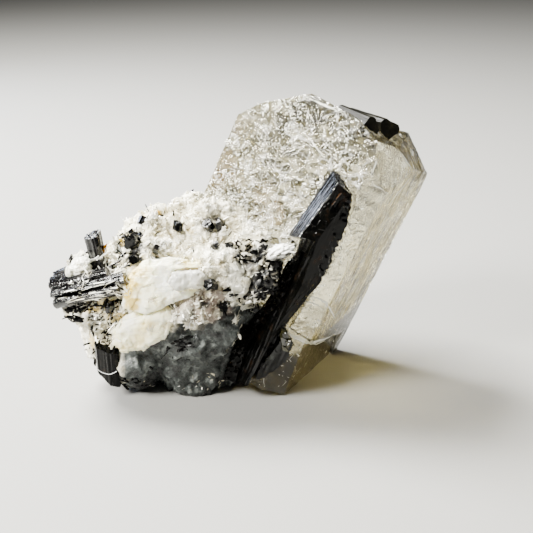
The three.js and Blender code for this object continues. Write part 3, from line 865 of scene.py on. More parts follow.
def etch_strokes(name, skin, count, seed, longest, widest, look, ribs=False):
    """Fine etch lines that net the topaz, or its straight growth lines: short walks over a face."""
    tree = tree_of(*skin)

    def wanted(p, n):
        right = n @ RIGHT_FACE > 0.95
        if ribs:
            return right * (p[:, 2] > 7.5)
        front = 0.14 * (n @ FRONT_FACE > 0.95) + 0.06 * right
        return (0.05 + (n @ BROAD_LEFT_FACE > 0.9) + front) * (p[:, 2] > 1.5)

    at, out = on_skin(*skin, count, seed, wanted)
    rng = np.random.default_rng(seed + 1)
    crowd = 0.4 + 0.7 * swell(at, 3.4, seed + 2) + 0.5 * swell(at, 1.3, seed + 3)
    calm = np.max([inside(outline, *pixels_of(at)) for outline in PANES], 0)
    kept = (rng.random(count) < crowd) & ~calm
    at, out = at[kept], out[kept]
    way = unit(np.cross(out, rng.normal(size=at.shape)))
    bend = 0.17 * rng.normal(size=(len(at), 1))
    if ribs:
        way = unit(TOPAZ_C_AXIS + 0.12 * rng.normal(size=at.shape))
        bend = 0.2 * bend
    # Longer lines are walked in more steps, in mm.
    turns = 5 if longest < 2 else 8
    step = (0.2 + longest * rng.random((len(at), 1)) ** 3) / turns
    paths, normals = [at + ABOVE_FACE * out], [out]
    for _ in range(turns):
        nearest = [tree.find_nearest(Vector(p * MM)) for p in at + way * step]
        at = np.array([n[0] for n in nearest]) / MM
        out = np.array([n[1] for n in nearest])
        way = unit(way - out * np.sum(way * out, 1, keepdims=True))
        way = way * np.cos(bend) + np.cross(out, way) * np.sin(bend)
        paths.append(at + ABOVE_FACE * out)
        normals.append(out)
    widths = widest * (0.3 + 0.7 * rng.random(len(at)) ** 3)
    ridges(name, np.stack(paths, 1), np.stack(normals, 1), widths, look)


def bright_facets(skin, look):
    """Small etch facets that happen to face the light, white and crowded in patches."""

    def wanted(p, n):
        patch = np.clip(0.2 + 1.3 * swell(p, 4.2, 77) + 0.8 * swell(p, 1.5, 78), 0, 1)
        front = 0.3 * (n @ FRONT_FACE > 0.95)
        return patch * (0.04 + (n @ BROAD_LEFT_FACE > 0.9) + front) * (p[:, 2] > 6)

    at, out = on_skin(*skin, 1300, 79, wanted)
    rng = np.random.default_rng(80)
    way = unit(unit(np.cross(out, rng.normal(size=at.shape))) + 0.12 * rng.normal(size=at.shape))
    length = 0.12 + 0.5 * rng.random(len(at)) ** 2.2
    width = 0.1 + 0.22 * rng.random(len(at)) ** 2
    u, _ = turned_frame(way, np.zeros(len(at)))
    spin = np.arctan2(np.sum(np.cross(way, u) * out, 1), np.sum(u * out, 1)) + math.pi / 2
    sizes = (length, width, width * 0.25)
    small_crystals("bright_facets", look, at, way, sizes, spin, sides=5, taper=0.6)


def inner_cracks(skin, look):
    """Healed cracks and needles inside the topaz: thin bright slivers just under its faces."""
    tree = tree_of(*skin)

    def wanted(p, n):
        return (p[:, 2] > 3) * (0.35 + 1.0 * (n @ BROAD_LEFT_FACE > 0.8))

    points, normals = on_skin(*skin, 3000, 5, wanted)
    rng = np.random.default_rng(6)
    depth = 0.16 + 2.0 * rng.random(len(points)) ** 2.2
    feet = points - normals * depth[:, None]
    # They run along the c axis more than across it, and rather flat under the face.
    ways = rng.normal(size=feet.shape) + 0.9 * TOPAZ_C_AXIS * rng.choice([-1, 1], (len(feet), 1))
    ways = unit(ways)
    ways = unit(ways - 0.75 * normals * np.sum(ways * normals, 1, keepdims=True))
    length = 0.15 + 0.9 * rng.random(len(feet)) ** 2.5
    tips = feet + ways * length[:, None]

    def deep(end):
        near, out, _, _ = tree.find_nearest(Vector(end * MM))
        return out.dot(Vector(end * MM) - near) <= -0.12 * MM and end[2] >= 1.5

    keep = np.array([deep(foot) and deep(tip) for foot, tip in zip(feet, tips)])
    feet, ways, length = feet[keep], ways[keep], length[keep]
    width = 0.06 + 0.3 * rng.random(len(feet)) ** 2.5
    spin = rng.random(len(feet)) * FULL_TURN
    sizes = (length, width, width * 0.14)
    small_crystals("inner_cracks", look, feet, ways, sizes, spin, sides=4, taper=0.5)


# The black tourmalines


def flattened(corners, through, way):
    """What stands out past a plane is pressed back to it, as a flat crystal face."""
    way = np.array(way, float) / np.linalg.norm(way)
    over = (corners - np.array(through)) @ way
    return corners - np.outer(np.maximum(over, 0), way)


def tourmaline(name, node, axis, cell, rib, depth, seed, look, planes=(), grow=0.03, bites=()):
    """A prism of the solids with its real ribs: fine grooves that run along it.

    Planes cut it to flat faces, grow moves its whole skin out, and bites break away its edge.
    """
    axis = np.array(axis, float)
    axis /= np.linalg.norm(axis)
    corners, normals, faces = fine_skin(node, cell, crisp=True)
    for through, way in planes:
        corners = flattened(corners, through, way)
    drawn = along(corners, axis, 40)
    height = depth * swell(drawn, rib, seed) + 0.6 * depth * swell(drawn, rib * 0.45, seed + 1)
    height += depth * cleaved(corners, 6 * rib, seed + 2, 0.1, 0.6)
    corners = corners + normals * (height + grow)[:, None]
    for middle, way, reach in bites:
        view = unit(middle - CAMERA_AT)
        gap = np.linalg.norm(np.cross(corners - middle, view), axis=1) / reach
        rough = 0.75 + 0.5 * swell(corners, 0.5, seed + 3)
        corners = corners + np.outer(np.clip(1 - gap, 0, 1) * rough * reach * 0.75, way)
    piece(name, corners, faces, look, [node], crisp=24)
    return corners, faces


# Where the ragged right edge of the long prism is broken away: place in the photograph, reach in mm
BITES = [
    ((350, 201), 1.1), ((348, 214), 1.0), ((341.5, 232), 1.0), ((339, 246), 1.3), ((336, 257), 1.6),
    ((327, 268), 1.0), ((325, 276), 0.6), ((312, 298), 0.6), ((296, 320), 0.5), ((307, 222), 0.5),
    ((275, 350), 0.6),
]


def main_prism(look):
    """The long prism: a smooth narrow face at its upper left, and a broad front broken in steps."""
    # A point near the top of its axis, and two flat faces 1.62 and 1.7 mm from there
    upper = np.array([8.0, -4.6, 27.0]) + LAYOUT_TO_FRAME
    left_way = np.array([-0.79, -0.545, 0.277])
    front_way = np.array([0.25, -0.965, -0.05])
    planes = [(upper + left_way * 1.62, left_way), (upper + front_way * 1.7, front_way)]
    shell = [tree_of(*shell_of("main_tourmaline"))]
    bites = []
    for (x, y), reach in BITES:
        # The edge itself may miss the solid, so its place is looked for a little to the left, and
        # what breaks off there goes that way too.
        found = place_seen(x - 1, y, shell) or place_seen(x - 3, y, shell)
        if found is not None:
            bites.append((found[0], np.array([-0.9, 0.3, 0.1]), reach))
    form = (MAIN_PRISM_AXIS, 0.15, 0.4, 0.09, 51)
    return tourmaline("main_prism", "main_tourmaline", *form, look, planes, bites=bites)


# Sheets drawn on other pieces lie this far above them, in mm.
ABOVE_SKIN = 0.3


def sheet_seen(name, left, right, thick, relief, look, trees=None, steps=(60, 24)):
    """A flat piece drawn on the photograph between two lines, with relief on its seen side.

    The points of a line are pixels with a depth along y in mm, or pixels alone on the trees.
    """

    def spread(points):
        if trees is None:
            line = np.array([ray_point(*p) for p in points])
        else:
            found = [place_seen(x, y, trees) for x, y in points]
            line = np.array([f[0] + ABOVE_SKIN * f[1] for f in found if f is not None])
        return spaced(line, np.linspace(0, len(line) - 1, steps[0]))

    a, b = spread(left), spread(right)
    s = np.linspace(0, 1, steps[1])[None, :, None]
    flat = a[:, None] * (1 - s) + b[:, None] * s
    way = unit(np.cross(b.mean(0) - a.mean(0), a[-1] - a[0]))
    if way @ (CAMERA_AT - flat.mean((0, 1))) < 0:
        way = -way
    across, down = np.meshgrid(s.ravel(), np.linspace(0, 1, steps[0]))
    top = flat + way * relief(down, across, flat)[..., None]
    corners = np.concatenate([top.reshape(-1, 3), (flat - way * thick).reshape(-1, 3)])
    rows, columns = steps
    back = rows * columns
    faces = []
    for i in range(rows - 1):
        for k in range(columns - 1):
            here = i * columns + k
            q = (here, here + 1, here + columns + 1, here + columns)
            faces += [q, tuple(back + v for v in reversed(q))]
    rim = [*range(columns)] + [i * columns + columns - 1 for i in range(1, rows)]
    rim += [(rows - 1) * columns + k for k in reversed(range(columns - 1))]
    rim += [i * columns for i in reversed(range(1, rows - 1))]
    for k, v in zip(rim, rim[1:] + rim[:1]):
        faces.append((v, k, back + k, back + v))
    piece(name, corners, faces, look, crisp=20)


def broken(size, seed, slope, step):
    """The relief of small flat breaks, for a sheet drawn on the photograph."""

    def relief(down, across, flat):
        return cleaved(flat.reshape(-1, 3), size, seed, slope, step).reshape(across.shape)

    return relief


def flank(main):
    """The bright striated face at the upper left of the long prism, and the black front beside it."""
    # This face mirrors the cool low window, so it looks bluish and silvery.
    shiny = black_tourmaline("schorl_flank", MAIN_PRISM_AXIS, 0.9, ("#05070a", "#0a0d12", "#10141a"))
    left = [(333, 171, -4.8), (311, 203.5, -4.3), (289, 236, -3.8)]
    right = [(338.7, 184, -6.3), (319, 210.5, -6.45), (299.5, 237.5, -6.6)]
    front = [(350.5, 194, -6.0), (337, 214, -6.7), (317, 241, -7.3)]

    def ribs(down, across, flat):
        wave = across * 5.2 + 0.05 * np.sin(down * 9)
        lines = 0.17 * np.abs(wave % 1 - 0.5) + 0.08 * np.abs((across * 13.3) % 1 - 0.5)
        chipped = 0.12 * swell(flat.reshape(-1, 3), 0.3, 92).reshape(across.shape)
        rim = 0.04 * np.exp(-((across / 0.05) ** 2))
        return lines + chipped * (np.abs(across - 0.5) > 0.46) + rim

    sheet_seen("striated_flank", left, right, 0.9, ribs, shiny, steps=(60, 64))
    breaks = broken(1.6, 93, 0.12, 0.08)
    sheet_seen("flank_front", right, front, 1.0, breaks, main, steps=(60, 40))


def shards(main, topaz_tree):
    """The glassy olive sliver beside the splinter, and the black crumb between it and the prism."""
    # Thin schorl lets a little light through, which makes it olive.
    olive = black_tourmaline("schorl_olive", (0.3, 0, 0.95), 0.6, ("#0f100a", "#22210f", "#3f3a1c"))
    left = [(283, 327, -5.5), (281, 338, -5.9), (283, 351, -5.7)]
    right = [(286, 328, -5.3), (291, 340, -5.6), (288, 352, -5.6)]
    breaks = broken(0.9, 95, 0.3, 0.25)
    sheet_seen("olive_sliver", left, right, 0.5, breaks, olive, steps=(40, 16))
    left = [(284, 318), (266, 345), (252, 374)]
    right = [(286, 330), (276, 350), (262, 376)]
    trees = [topaz_tree]
    sheet_seen("black_crumb", left, right, 0.5, breaks, main, trees, (50, 20))


def black_border(main, trees):
    """Black crumbs and painted shade that fill the seam between the shaded front and the long prism."""
    left = [
        (297, 248), (291, 262), (284, 276), (276, 290), (266, 302), (255, 313), (246, 324), (237, 338),
        (231, 352), (226, 366), (222, 378),
    ]
    widths = (6, 8, 9, 11, 12, 13, 14, 15, 15, 15, 15)
    right = [(x + width, y + 4) for (x, y), width in zip(left, widths)]
    breaks = broken(0.7, 97, 0.5, 0.3)
    sheet_seen("black_border", left, right, 0.7, breaks, main, trees, (130, 26))


def tourmalines(topaz_tree):
    """All black prisms: the skins that others grow on, and the look of the long prism."""
    # The long prism is deep black, and a little brown where it is worn.
    main = black_tourmaline("schorl_main", MAIN_PRISM_AXIS, 0.09, ("#020202", "#040403", "#1a1008"))
    skins = [main_prism(main)]
    flank(main)
    shards(main, topaz_tree)
    leaning, across = (0.35, 0.0, 0.94), (0.5, -0.86, 0.0)
    flat, upright = (0.93, -0.26, 0.3), (-0.2, 0.2, 1.0)
    # The splinter is mottled grey, the rods on top are dull and brownish, the left bundle glitters,
    # and the rest is plain schorl.
    mottled = black_tourmaline("schorl_mottled", leaning, 0.16, ("#050505", "#0d0e0d", "#2b2d2a"))
    top = black_tourmaline("schorl_top", across, 0.06, ("#060604", "#12110a", "#2a2616"), 0.3)
    rods = black_tourmaline("schorl_rods", flat, 0.6)
    plain = black_tourmaline("schorl_upright", upright)
    block = np.array([-21.4, -5.2, 6.5]) + LAYOUT_TO_FRAME
    corners_off = [
        (block + np.array([-1.0, 0, -2.2]), (-0.75, -0.3, -0.6)),
        (block + np.array([1.2, 0, 1.7]), (0.7, -0.35, 0.62)),
        (block + np.array([0.0, -0.1, 0.0]), (0.35, -0.93, -0.1)),
    ]
    # Name, solid, axis, then cell, rib distance and rib depth in mm, seed, look and flat faces
    prisms = [
        ("splinter", "tourmaline_splinter", leaning, 0.13, 0.3, 0.14, 52, mottled),
        ("top_rod_left", "top_tourmaline_left", across, 0.11, 0.24, 0.03, 53, top),
        ("top_rod_right", "top_tourmaline_right", across, 0.11, 0.24, 0.03, 53, top),
        ("rod_bundle", "left_tourmaline_bundle", flat, 0.11, 0.22, 0.08, 54, rods),
        ("standing_prism", "left_tourmaline_prism", upright, 0.11, 0.26, 0.1, 55, plain),
        ("foot_block", "left_tourmaline_block", (0.03, -0.22, 1), 0.11, 0.3, 0.09, 56, main, corners_off),
    ]
    for prism in prisms:
        skin = tourmaline(*prism)
        # Nothing grows on the rods on top.
        if prism[-1] is not top:
            skins.append(skin)
    for i in range(1, 13):
        turn = hashed(np.array([[i, 2, 3], [i, 5, 7], [i, 1, 8]]), 9) - 0.5
        name = f"grain_{i:02d}"
        tourmaline(name, "tourmaline_" + name, turn, 0.09, 0.4, 0.05, 60 + i, plain, grow=-0.05)
    return skins, main


# Feldspar and quartz


# Stains on the mass: place in the photograph, reach in mm and strength
STAINS = {
    # Black dust in the seam by the long prism and along the bottom edge is painted shade.
    "black_dust_and_shade": [
        (270, 288, 3.4, 1.0), (286, 272, 2.6, 1.0), (255, 250, 1.9, 0.9), (234, 293, 1.5, 0.8),
        (254, 316, 1.8, 0.6), (262, 330, 2.8, 0.9), (181, 345, 1.5, 0.9), (143, 385, 2.4, 1.0),
        (165, 390, 1.6, 0.9), (103, 372, 2.4, 1.0), (136, 256, 1.8, 1.0), (122, 250, 1.5, 0.9),
        (207, 305, 0.9, 0.9), (171, 307, 1.0, 0.9), (110, 282, 2.4, 0.9), (78, 262, 1.8, 0.8),
        (190, 315, 1.2, 0.6), (176, 369, 0.9, 0.8), (204, 225, 0.9, 0.6), (245, 375, 3.0, 0.9),
        (104, 340, 1.4, 0.7), (291, 258, 1.8, 1.0), (226, 303, 0.9, 0.9), (215, 352, 0.8, 0.6),
        (65, 300, 2.4, 0.9), (84, 300, 2.0, 0.9), (97, 262, 1.4, 0.8), (120, 330, 1.0, 0.7),
        (250, 292, 1.5, 0.9), (240, 252, 1.0, 0.7), (277, 250, 1.4, 0.9), (92, 316, 1.0, 0.6),
        (186, 321, 0.6, 0.8), (201, 326, 0.7, 0.8), (223, 316, 1.1, 0.9), (236, 344, 1.8, 0.9),
        (232, 362, 1.8, 0.9), (262, 276, 2.4, 1.0), (276, 262, 2.2, 1.0), (268, 296, 2.6, 1.0),
        (252, 262, 1.6, 0.9), (284, 290, 2.0, 1.0), (262, 250, 1.6, 1.0), (240, 330, 1.6, 0.8),
        (112, 296, 1.6, 0.9), (96, 292, 1.6, 0.9),
    ],
    "brown_crumb": [
        (207, 300, 2.8, 0.85), (216, 290, 1.6, 0.7), (252, 262, 1.2, 0.4), (190, 302, 1.6, 0.7),
        (244, 284, 1.8, 0.7), (232, 272, 1.2, 0.35), (222, 308, 1.4, 0.8), (180, 309, 1.5, 0.6),
        (196, 315, 1.6, 0.7), (210, 317, 1.5, 0.8),
    ],
    "iron_stain": [
        (130, 292, 1.6, 0.9), (134, 276, 1.5, 0.9), (109, 303, 1.6, 0.7), (93, 307, 1.1, 0.8),
        (94, 338, 1.4, 0.6), (157, 213, 0.5, 1.0), (124, 243, 1.2, 0.7), (190, 228, 1.0, 0.3),
        (88, 250, 0.8, 0.5), (120, 316, 1.2, 0.5), (146, 214, 0.7, 0.5), (112, 318, 1.2, 0.5),
    ],
}


def shaded_front(corners, normals):
    """How far each corner lies in the smooth front of the mass under the slabs, which lies in shade and
    is painted dark grey as shade.
    """
    x = corners[:, 0] - LAYOUT_TO_FRAME[0]
    # Its upper rim is 12.4 mm above the table, and higher beside the long prism.
    near_prism = np.clip((x + 6.5) / 3.0, 0, 1)
    line = 12.4 + 3.4 * near_prism + 1.2 * swell(corners, 4.0, 390) + 1.0 * swell(corners, 1.3, 391)
    low = np.clip(line - corners[:, 2], 0, 1)
    right = np.clip(x + 20.0 + 0.8 * swell(corners, 1.0, 392), 0, 1)
    return low * right * np.clip(0.6 - 2.0 * normals[:, 1], 0, 1)


def stain(corners, spots, seed, tree):
    """How strongly each corner is stained: full at each spot and ragged towards its edge."""
    rough = 0.45 * swell(corners, 1.0, seed) + 0.35 * swell(corners, 0.4, seed + 1)
    total = np.zeros(len(corners))
    for x, y, reach, strength in spots:
        found = place_seen(x, y, [tree])
        if found is None:
            continue
        gap = np.linalg.norm(corners - found[0], axis=1) / reach
        total = np.maximum(total, strength * np.clip(2.0 * (1.0 - gap + rough), 0, 1))
    return total


def stains_at(points, tree):
    """How strongly each point of the mass is stained, under the name of each stain."""
    return {
        name: stain(points, spots, 400 + 5 * i, tree) for i, (name, spots) in enumerate(STAINS.items())
    }


def feldspar_mass(look):
    """The lumpy white mass, with hollows between its lumps painted darker as shade, its front under the
    slabs painted dark grey as shade, and its stains.
    """
    corners, normals, faces = fine_skin("feldspar_matrix", 0.24)
    calm = shaded_front(corners, normals)
    # Lumps 2.6 mm apart with smaller ones of 1.1 mm on them, then cleavage steps
    _, _, lump_rim = grains_at(corners + 0.5 * swell(corners, 1.5, 69)[:, None], 2.6, 70)
    _, _, small_rim = grains_at(corners, 1.1, 77)
    height = 0.3 * np.sqrt(np.clip(lump_rim / 0.6, 0, 1)) + 0.08 * np.clip(small_rim / 0.2, 0, 1)
    height += cleaved(corners, 1.7, 81, 0.42, 0.3) + cleaved(corners, 0.7, 91, 0.5, 0.16)
    height = height * (1 - 0.55 * calm) + 0.08 * swell(corners, 0.8, 98)
    spots = corners + normals * height[:, None]
    made = piece("feldspar_mass", spots, faces, look, ["feldspar_matrix"])
    # Hollows between the lumps are painted darker, as shade.
    painted_hollow_shade = np.clip(1 - lump_rim / 0.28, 0, 1) + 0.6 * np.clip(1 - small_rim / 0.16, 0, 1)
    marked(made, "painted_hollow_shade", np.clip(painted_hollow_shade, 0, 1) * 0.9 * (1 - calm))
    # The front under the slabs is painted dark grey, as shade.
    marked(made, "painted_front_shade", calm)
    for name, strength in stains_at(spots, tree_of(spots, faces)).items():
        marked(made, name, strength)
    return spots, faces


def cleavage_blade(name, node, look, seed, depth=1.0, stains=()):
    """A solid of feldspar or quartz with shallow flat steps, stained at some places."""
    corners, normals, faces = fine_skin(node, 0.14)
    height = 0.12 + depth * cleaved(corners, 2.4, seed, 0.12, 0.16)
    height += depth * cleaved(corners, 0.8, seed + 5, 0.16, 0.05) + 0.03 * swell(corners, 0.35, seed + 9)
    corners = corners + normals * height[:, None]
    made = piece(name, corners, faces, look, [node])
    if stains:
        tree = tree_of(corners, faces)
        marked(made, "iron_stain", stain(corners, stains, seed, tree))
    return corners, faces


# Yellow stains along the edges of the cream slabs
SLAB_STAINS = [
    (134, 272, 1.5, 0.8), (131, 282, 1.6, 0.9), (128, 292, 1.7, 1.0), (131, 302, 1.3, 0.9),
    (112, 344, 1.3, 0.4), (140, 352, 1.6, 0.35), (168, 325, 1.2, 0.35), (136, 258, 1.0, 0.6),
    (185, 262, 0.8, 0.3),
]


def feldspars():
    """All feldspar and quartz pieces, first the mass: the skins that small crystals grow on."""
    skins = [feldspar_mass(sugary_albite())]
    cream = cream_feldspar()
    # Thin feldspar, half clear and pearly
    pearly = milky_quartz("pearly_feldspar", "#dcd9c8", "#fffffa", 0.55)
    for name, node, seed, look in (
        ("upper_slab", "cream_feldspar_upper", 101, cream),
        ("lower_slab", "cream_feldspar_lower", 111, cream),
        ("small_tab", "cream_feldspar_small", 121, pearly),
        ("bright_blade", "white_blade", 131, striped_feldspar("striped_feldspar", (0.88, 0.1, 0.42))),
    ):
        stains = SLAB_STAINS if look is cream else ()
        skins.append(cleavage_blade(name, node, look, seed, stains=stains))
    # Quartz, grey and glassy in the lens and milky white at the end
    grey_quartz = milky_quartz("grey_quartz", "#8b897b", "#dcd9c9", 0.15)
    skins.append(cleavage_blade("grey_lens", "quartz_lens", grey_quartz, 141, 1.6))
    white_quartz = milky_quartz("white_quartz", "#dcd9c6", "#fffff4", 0.2)
    skins.append(cleavage_blade("end_knob", "quartz_knob", white_quartz, 151, 2.4))
    return skins


def albite_plates(mass, trees, look):
    """Thin white plates and needles of albite in sprays over the upper and rear parts of the mass."""

    def wanted(p, n):
        upper = np.clip((p[:, 2] - 13.0) / 5.0, 0.06, 1.0)
        right = np.clip((p[:, 0] - LAYOUT_TO_FRAME[0] + 11.0) / 4.0, 0.12, 1.0)
        open_side = np.clip(0.35 + n[:, 2] + 0.5 * np.abs(n[:, 1]), 0.05, 1.0)
        return upper * np.maximum(right, n[:, 1] > 0) * open_side

    points, normals = on_skin(*mass, 3600, 21, wanted)
    rng = np.random.default_rng(22)
    # Few grow on black parts or on the shaded front.
    dark = stains_at(points, trees[0])["black_dust_and_shade"]
    kept = rng.random(len(points)) > np.maximum(dark, shaded_front(points, normals))
    points, normals = points[kept], normals[kept]
    _, middle, _ = grains_at(points, 2.6, 23)
    ways = unit(points - (middle - normals * 0.3)) + 0.3 * rng.normal(size=points.shape)
    ways = unit(ways + 0.1 * normals)
    length = 0.4 + 1.3 * rng.random(len(points)) ** 1.8
    width = 0.06 + 0.2 * rng.random(len(points)) ** 2.5
    feet = points - ways * 0.3 * length[:, None]
    sizes, spin = (length, width, width * 0.3), rng.random(len(points)) * FULL_TURN
    small_crystals("albite_plates", look, feet, ways, sizes, spin, sides=4, taper=0.5)


# What the photograph shows in small


def spots_in(outline, count, seed, trees, carriers):
    """Places on the specimen inside an outline on the photograph, and the normals there."""
    rng = np.random.default_rng(seed)
    corners = np.array(outline, float)
    low, high = corners.min(0), corners.max(0)
    found = []
    while len(found) < count:
        x, y = low + (high - low) * rng.random(2)
        if inside(outline, x, y):
            found.append(place_seen(x, y, trees, carriers))
    kept = [f for f in found if f is not None]
    return np.array([k[0] for k in kept]), np.array([k[1] for k in kept])


def lying(normals, angle, lift):
    """Directions along the surface at an angle in the photograph, lifted off it a little."""
    turn = np.array(bpy.context.scene.camera.rotation_euler.to_matrix())
    way = np.outer(np.cos(angle), turn[:, 0]) + np.outer(np.sin(angle), turn[:, 1])
    way = way - normals * np.sum(way * normals, 1, keepdims=True)
    return unit(unit(way) + normals * np.asarray(lift)[:, None])


def bed(beds, seed, trees, carriers, sunk, lift, turned=True):
    """Feet, ways, lengths and widths of little crystals that fill outlines on the photograph."""
    feet, ways, length, width = [], [], [], []
    for i, (outline, count, angle, spread, longest, widest) in enumerate(beds):
        rng = np.random.default_rng(seed + i)
        at, normals = spots_in(outline, count, seed + 50 + i, trees, carriers)
        if not len(at):
            continue
        turn = np.radians(angle + spread * rng.uniform(-1, 1, len(at)))
        if turned:
            turn += math.pi * rng.integers(0, 2, len(at))
        way = lying(normals, turn, lift * (0.3 + rng.random(len(at))))
        long = longest * (0.25 + 0.75 * rng.random(len(at)) ** 1.5)
        feet.append(at - way * long[:, None] * sunk)
        ways.append(way)
        length.append(long)
        width.append(widest * (0.4 + 0.6 * rng.random(len(at)) ** 1.2))
    return [np.concatenate(rows) for rows in (feet, ways, length, width)]


# Bright plates of albite and mica: outline in the photograph, how many, usual angle and its spread
# in degrees, longest length and width in mm
PLATE_BEDS = [
    ([(98, 240), (130, 240), (128, 262), (96, 262)], 26, 35, 40, 2.2, 0.9),
    ([(68, 262), (90, 262), (90, 284), (68, 284)], 40, 60, 90, 0.9, 0.6),
    ([(60, 292), (90, 284), (126, 278), (120, 300), (76, 308)], 46, 14, 9, 2.4, 0.26),
    ([(86, 300), (126, 296), (118, 345), (90, 345)], 44, 50, 80, 1.5, 0.7),
    ([(112, 286), (130, 276), (132, 300), (116, 304)], 26, 60, 80, 1.4, 0.5),
    ([(264, 238), (298, 238), (294, 254), (264, 258)], 16, 15, 20, 1.6, 0.3),
    ([(236, 240), (300, 258), (290, 290), (240, 290)], 46, 40, 80, 0.6, 0.35),
    ([(228, 292), (262, 290), (256, 304), (226, 306)], 40, 35, 25, 1.8, 0.12),
    ([(190, 286), (228, 286), (226, 316), (186, 312)], 60, 40, 90, 0.7, 0.4),
    ([(168, 306), (208, 318), (206, 326), (170, 318)], 40, -20, 60, 0.9, 0.5),
    ([(128, 252), (170, 238), (206, 244), (206, 262), (168, 256), (134, 268)], 60, 20, 60, 0.9, 0.5),
    ([(140, 376), (228, 372), (222, 392), (150, 392)], 26, 20, 80, 0.7, 0.4),
]

# Sprays of fine white fibres: middle in the photograph, angle, spread, count and longest in mm
SPRAYS = [
    ((227, 240), 60, 70, 50, 2.6), ((240, 232), 120, 60, 46, 2.4), ((256, 228), 40, 60, 46, 2.6),
    ((268, 230), 100, 50, 40, 2.6), ((248, 222), 70, 60, 40, 2.0), ((282, 232), 60, 50, 36, 2.4),
    ((216, 250), 110, 60, 36, 1.8), ((226, 258), 80, 70, 46, 2.2), ((208, 236), 50, 70, 36, 1.8),
    ((222, 222), 80, 60, 36, 2.0), ((262, 219), 110, 40, 30, 2.2), ((288, 224), 70, 40, 26, 2.0),
    ((200, 250), 70, 70, 30, 1.6), ((180, 240), 60, 90, 24, 1.4),
    ((238, 212), 90, 50, 30, 2.0), ((150, 300), 20, 60, 26, 1.8), ((150, 330), 60, 80, 22, 1.4),
    ((175, 262), 10, 60, 20, 1.6), ((236, 268), 125, 25, 34, 1.8), ((246, 284), 120, 30, 34, 1.6),
    ((232, 284), 60, 40, 24, 1.2), ((243, 308), 35, 30, 40, 2.2), ((235, 322), 60, 30, 30, 1.8),
]


def bright_plates(trees, look):
    """Single thin plates on the parts of the mass that the photograph shows."""
    feet, ways, length, width = bed(PLATE_BEDS, 500, trees, None, 0.3, 0.35)
    spin = np.random.default_rng(592).random(len(feet)) * FULL_TURN
    sizes = (length, width, width * 0.16)
    small_crystals("bright_plates", look, feet, ways, sizes, spin, sides=4, taper=0.7)


def albite_grains(mass, trees, look):
    """Blocky little crystals crusting the mass, which give it its sugary sparkle."""

    def wanted(p, n):
        return np.clip((p[:, 2] - 6.0) / 6.0, 0.05, 1.0) * np.where(n[:, 1] > 0.3, 0.6, 1.0)

    points, normals = on_skin(*mass, 8200, 821, wanted)
    rng = np.random.default_rng(822)
    # Few grow on stains or on the shaded front.
    dark = np.max([shaded_front(points, normals), *stains_at(points, trees[0]).values()], 0)
    kept = rng.random(len(points)) > dark
    points, normals = points[kept], normals[kept]
    ways = unit(rng.normal(size=points.shape) + 0.5 * normals)
    length = 0.22 + 0.5 * rng.random(len(points)) ** 2
    width = 0.2 + 0.35 * rng.random(len(points)) ** 2
    spin = rng.random(len(points)) * FULL_TURN
    feet, sizes = points - ways * 0.15, (length, width, width * 0.6)
    small_crystals("albite_grains", look, feet, ways, sizes, spin, sides=4, taper=0.85)


def fibre_sprays(trees, look):
    """Fans of fine white fibres. Each grows from a spot a few pixels wide."""
    beds = []
    for (x, y), angle, spread, count, longest in SPRAYS:
        spot = [(x - 2.5, y - 2), (x + 2.5, y - 2), (x + 2.5, y + 2), (x - 2.5, y + 2)]
        beds.append((spot, count, angle, spread, longest, 0.13))
    feet, ways, length, width = bed(beds, 700, trees, None, 0.1, 0.12, turned=False)
    spin = np.random.default_rng(792).random(len(feet)) * FULL_TURN
    lift = 0.06 * np.random.default_rng(793).random((len(feet), 1))
    feet = feet + lift * np.array([0, -1.0, 0.6])
    sizes = (length, width, width * 0.6)
    small_crystals("fibre_sprays", look, feet, ways, sizes, spin, sides=4, taper=0.4)


# Chips of iron stained mica: place in the photograph, angle, length and width in mm, colour
CHIPS = [
    ((103.5, 249), 75, 1.3, 0.6, "#d98a1e"),
    ((124, 242), 35, 1.7, 0.5, "#b59b2c"),
    ((119, 240), 50, 1.1, 0.5, "#8d8440"),
    ((157, 213), 40, 0.7, 0.4, "#d8952f"),
    ((116, 247), 35, 2.3, 1.2, "#eceade"),
    ((121, 251), 50, 1.4, 0.8, "#e3e8ea"),
    ((107, 258), 70, 0.9, 0.5, "#cfc28a"),
    ((338, 196), 60, 1.0, 0.35, "#3c2613"),
    ((343, 202), 50, 0.8, 0.4, "#452d18"),
    ((333, 203), 65, 0.8, 0.3, "#2e1d0e"),
]


def coloured_chips(trees):
    """The mica flakes, each where the photograph shows it."""
    for i, ((x, y), angle, long, wide, code) in enumerate(CHIPS):
        at, normal = place_seen(x, y, trees)
        way = lying(normal[None], np.radians([angle]), np.array([0.5]))
        foot = (at - way[0] * long * 0.5 + normal * 0.1)[None]
        sizes = np.array([[long], [wide], [wide * 0.3]])
        name, look = f"mica_chip_{i + 1}", stained_mica(code)
        small_crystals(name, look, foot, way, sizes, np.array([0.6]), sides=5)


def dust_fibre(trees):
    """A fine clear hair of dust caught on the lower left block."""
    look = plain_look("dust_fibre", "#f2f4f5", {"Roughness": 0.25, "IOR": 1.5})
    drawn = [(98, 367), (103, 371), (110, 373), (117, 370)]
    places = [place_seen(x, y, trees) for x, y in drawn]
    line = np.array([at + normal * 0.35 for at, normal in places])
    path = spaced(line, np.linspace(0, len(line) - 1, 25))
    path = np.array([path[max(i - 2, 0) : i + 3].mean(0) for i in range(len(path))])
    run = unit(np.gradient(path, axis=0))
    u, w = turned_frame(run, np.zeros(len(run)))
    corners = [
        path + 0.035 * (math.cos(math.pi * k / 3) * u + math.sin(math.pi * k / 3) * w) for k in range(6)
    ]
    corners = np.stack(corners, 1).reshape(-1, 3)
    faces = [
        (6 * i + k, 6 * i + (k + 1) % 6, 6 * i + 6 + (k + 1) % 6, 6 * i + 6 + k)
        for i in range(len(path) - 1)
        for k in range(6)
    ]
    piece("dust_fibre", corners, faces, look)


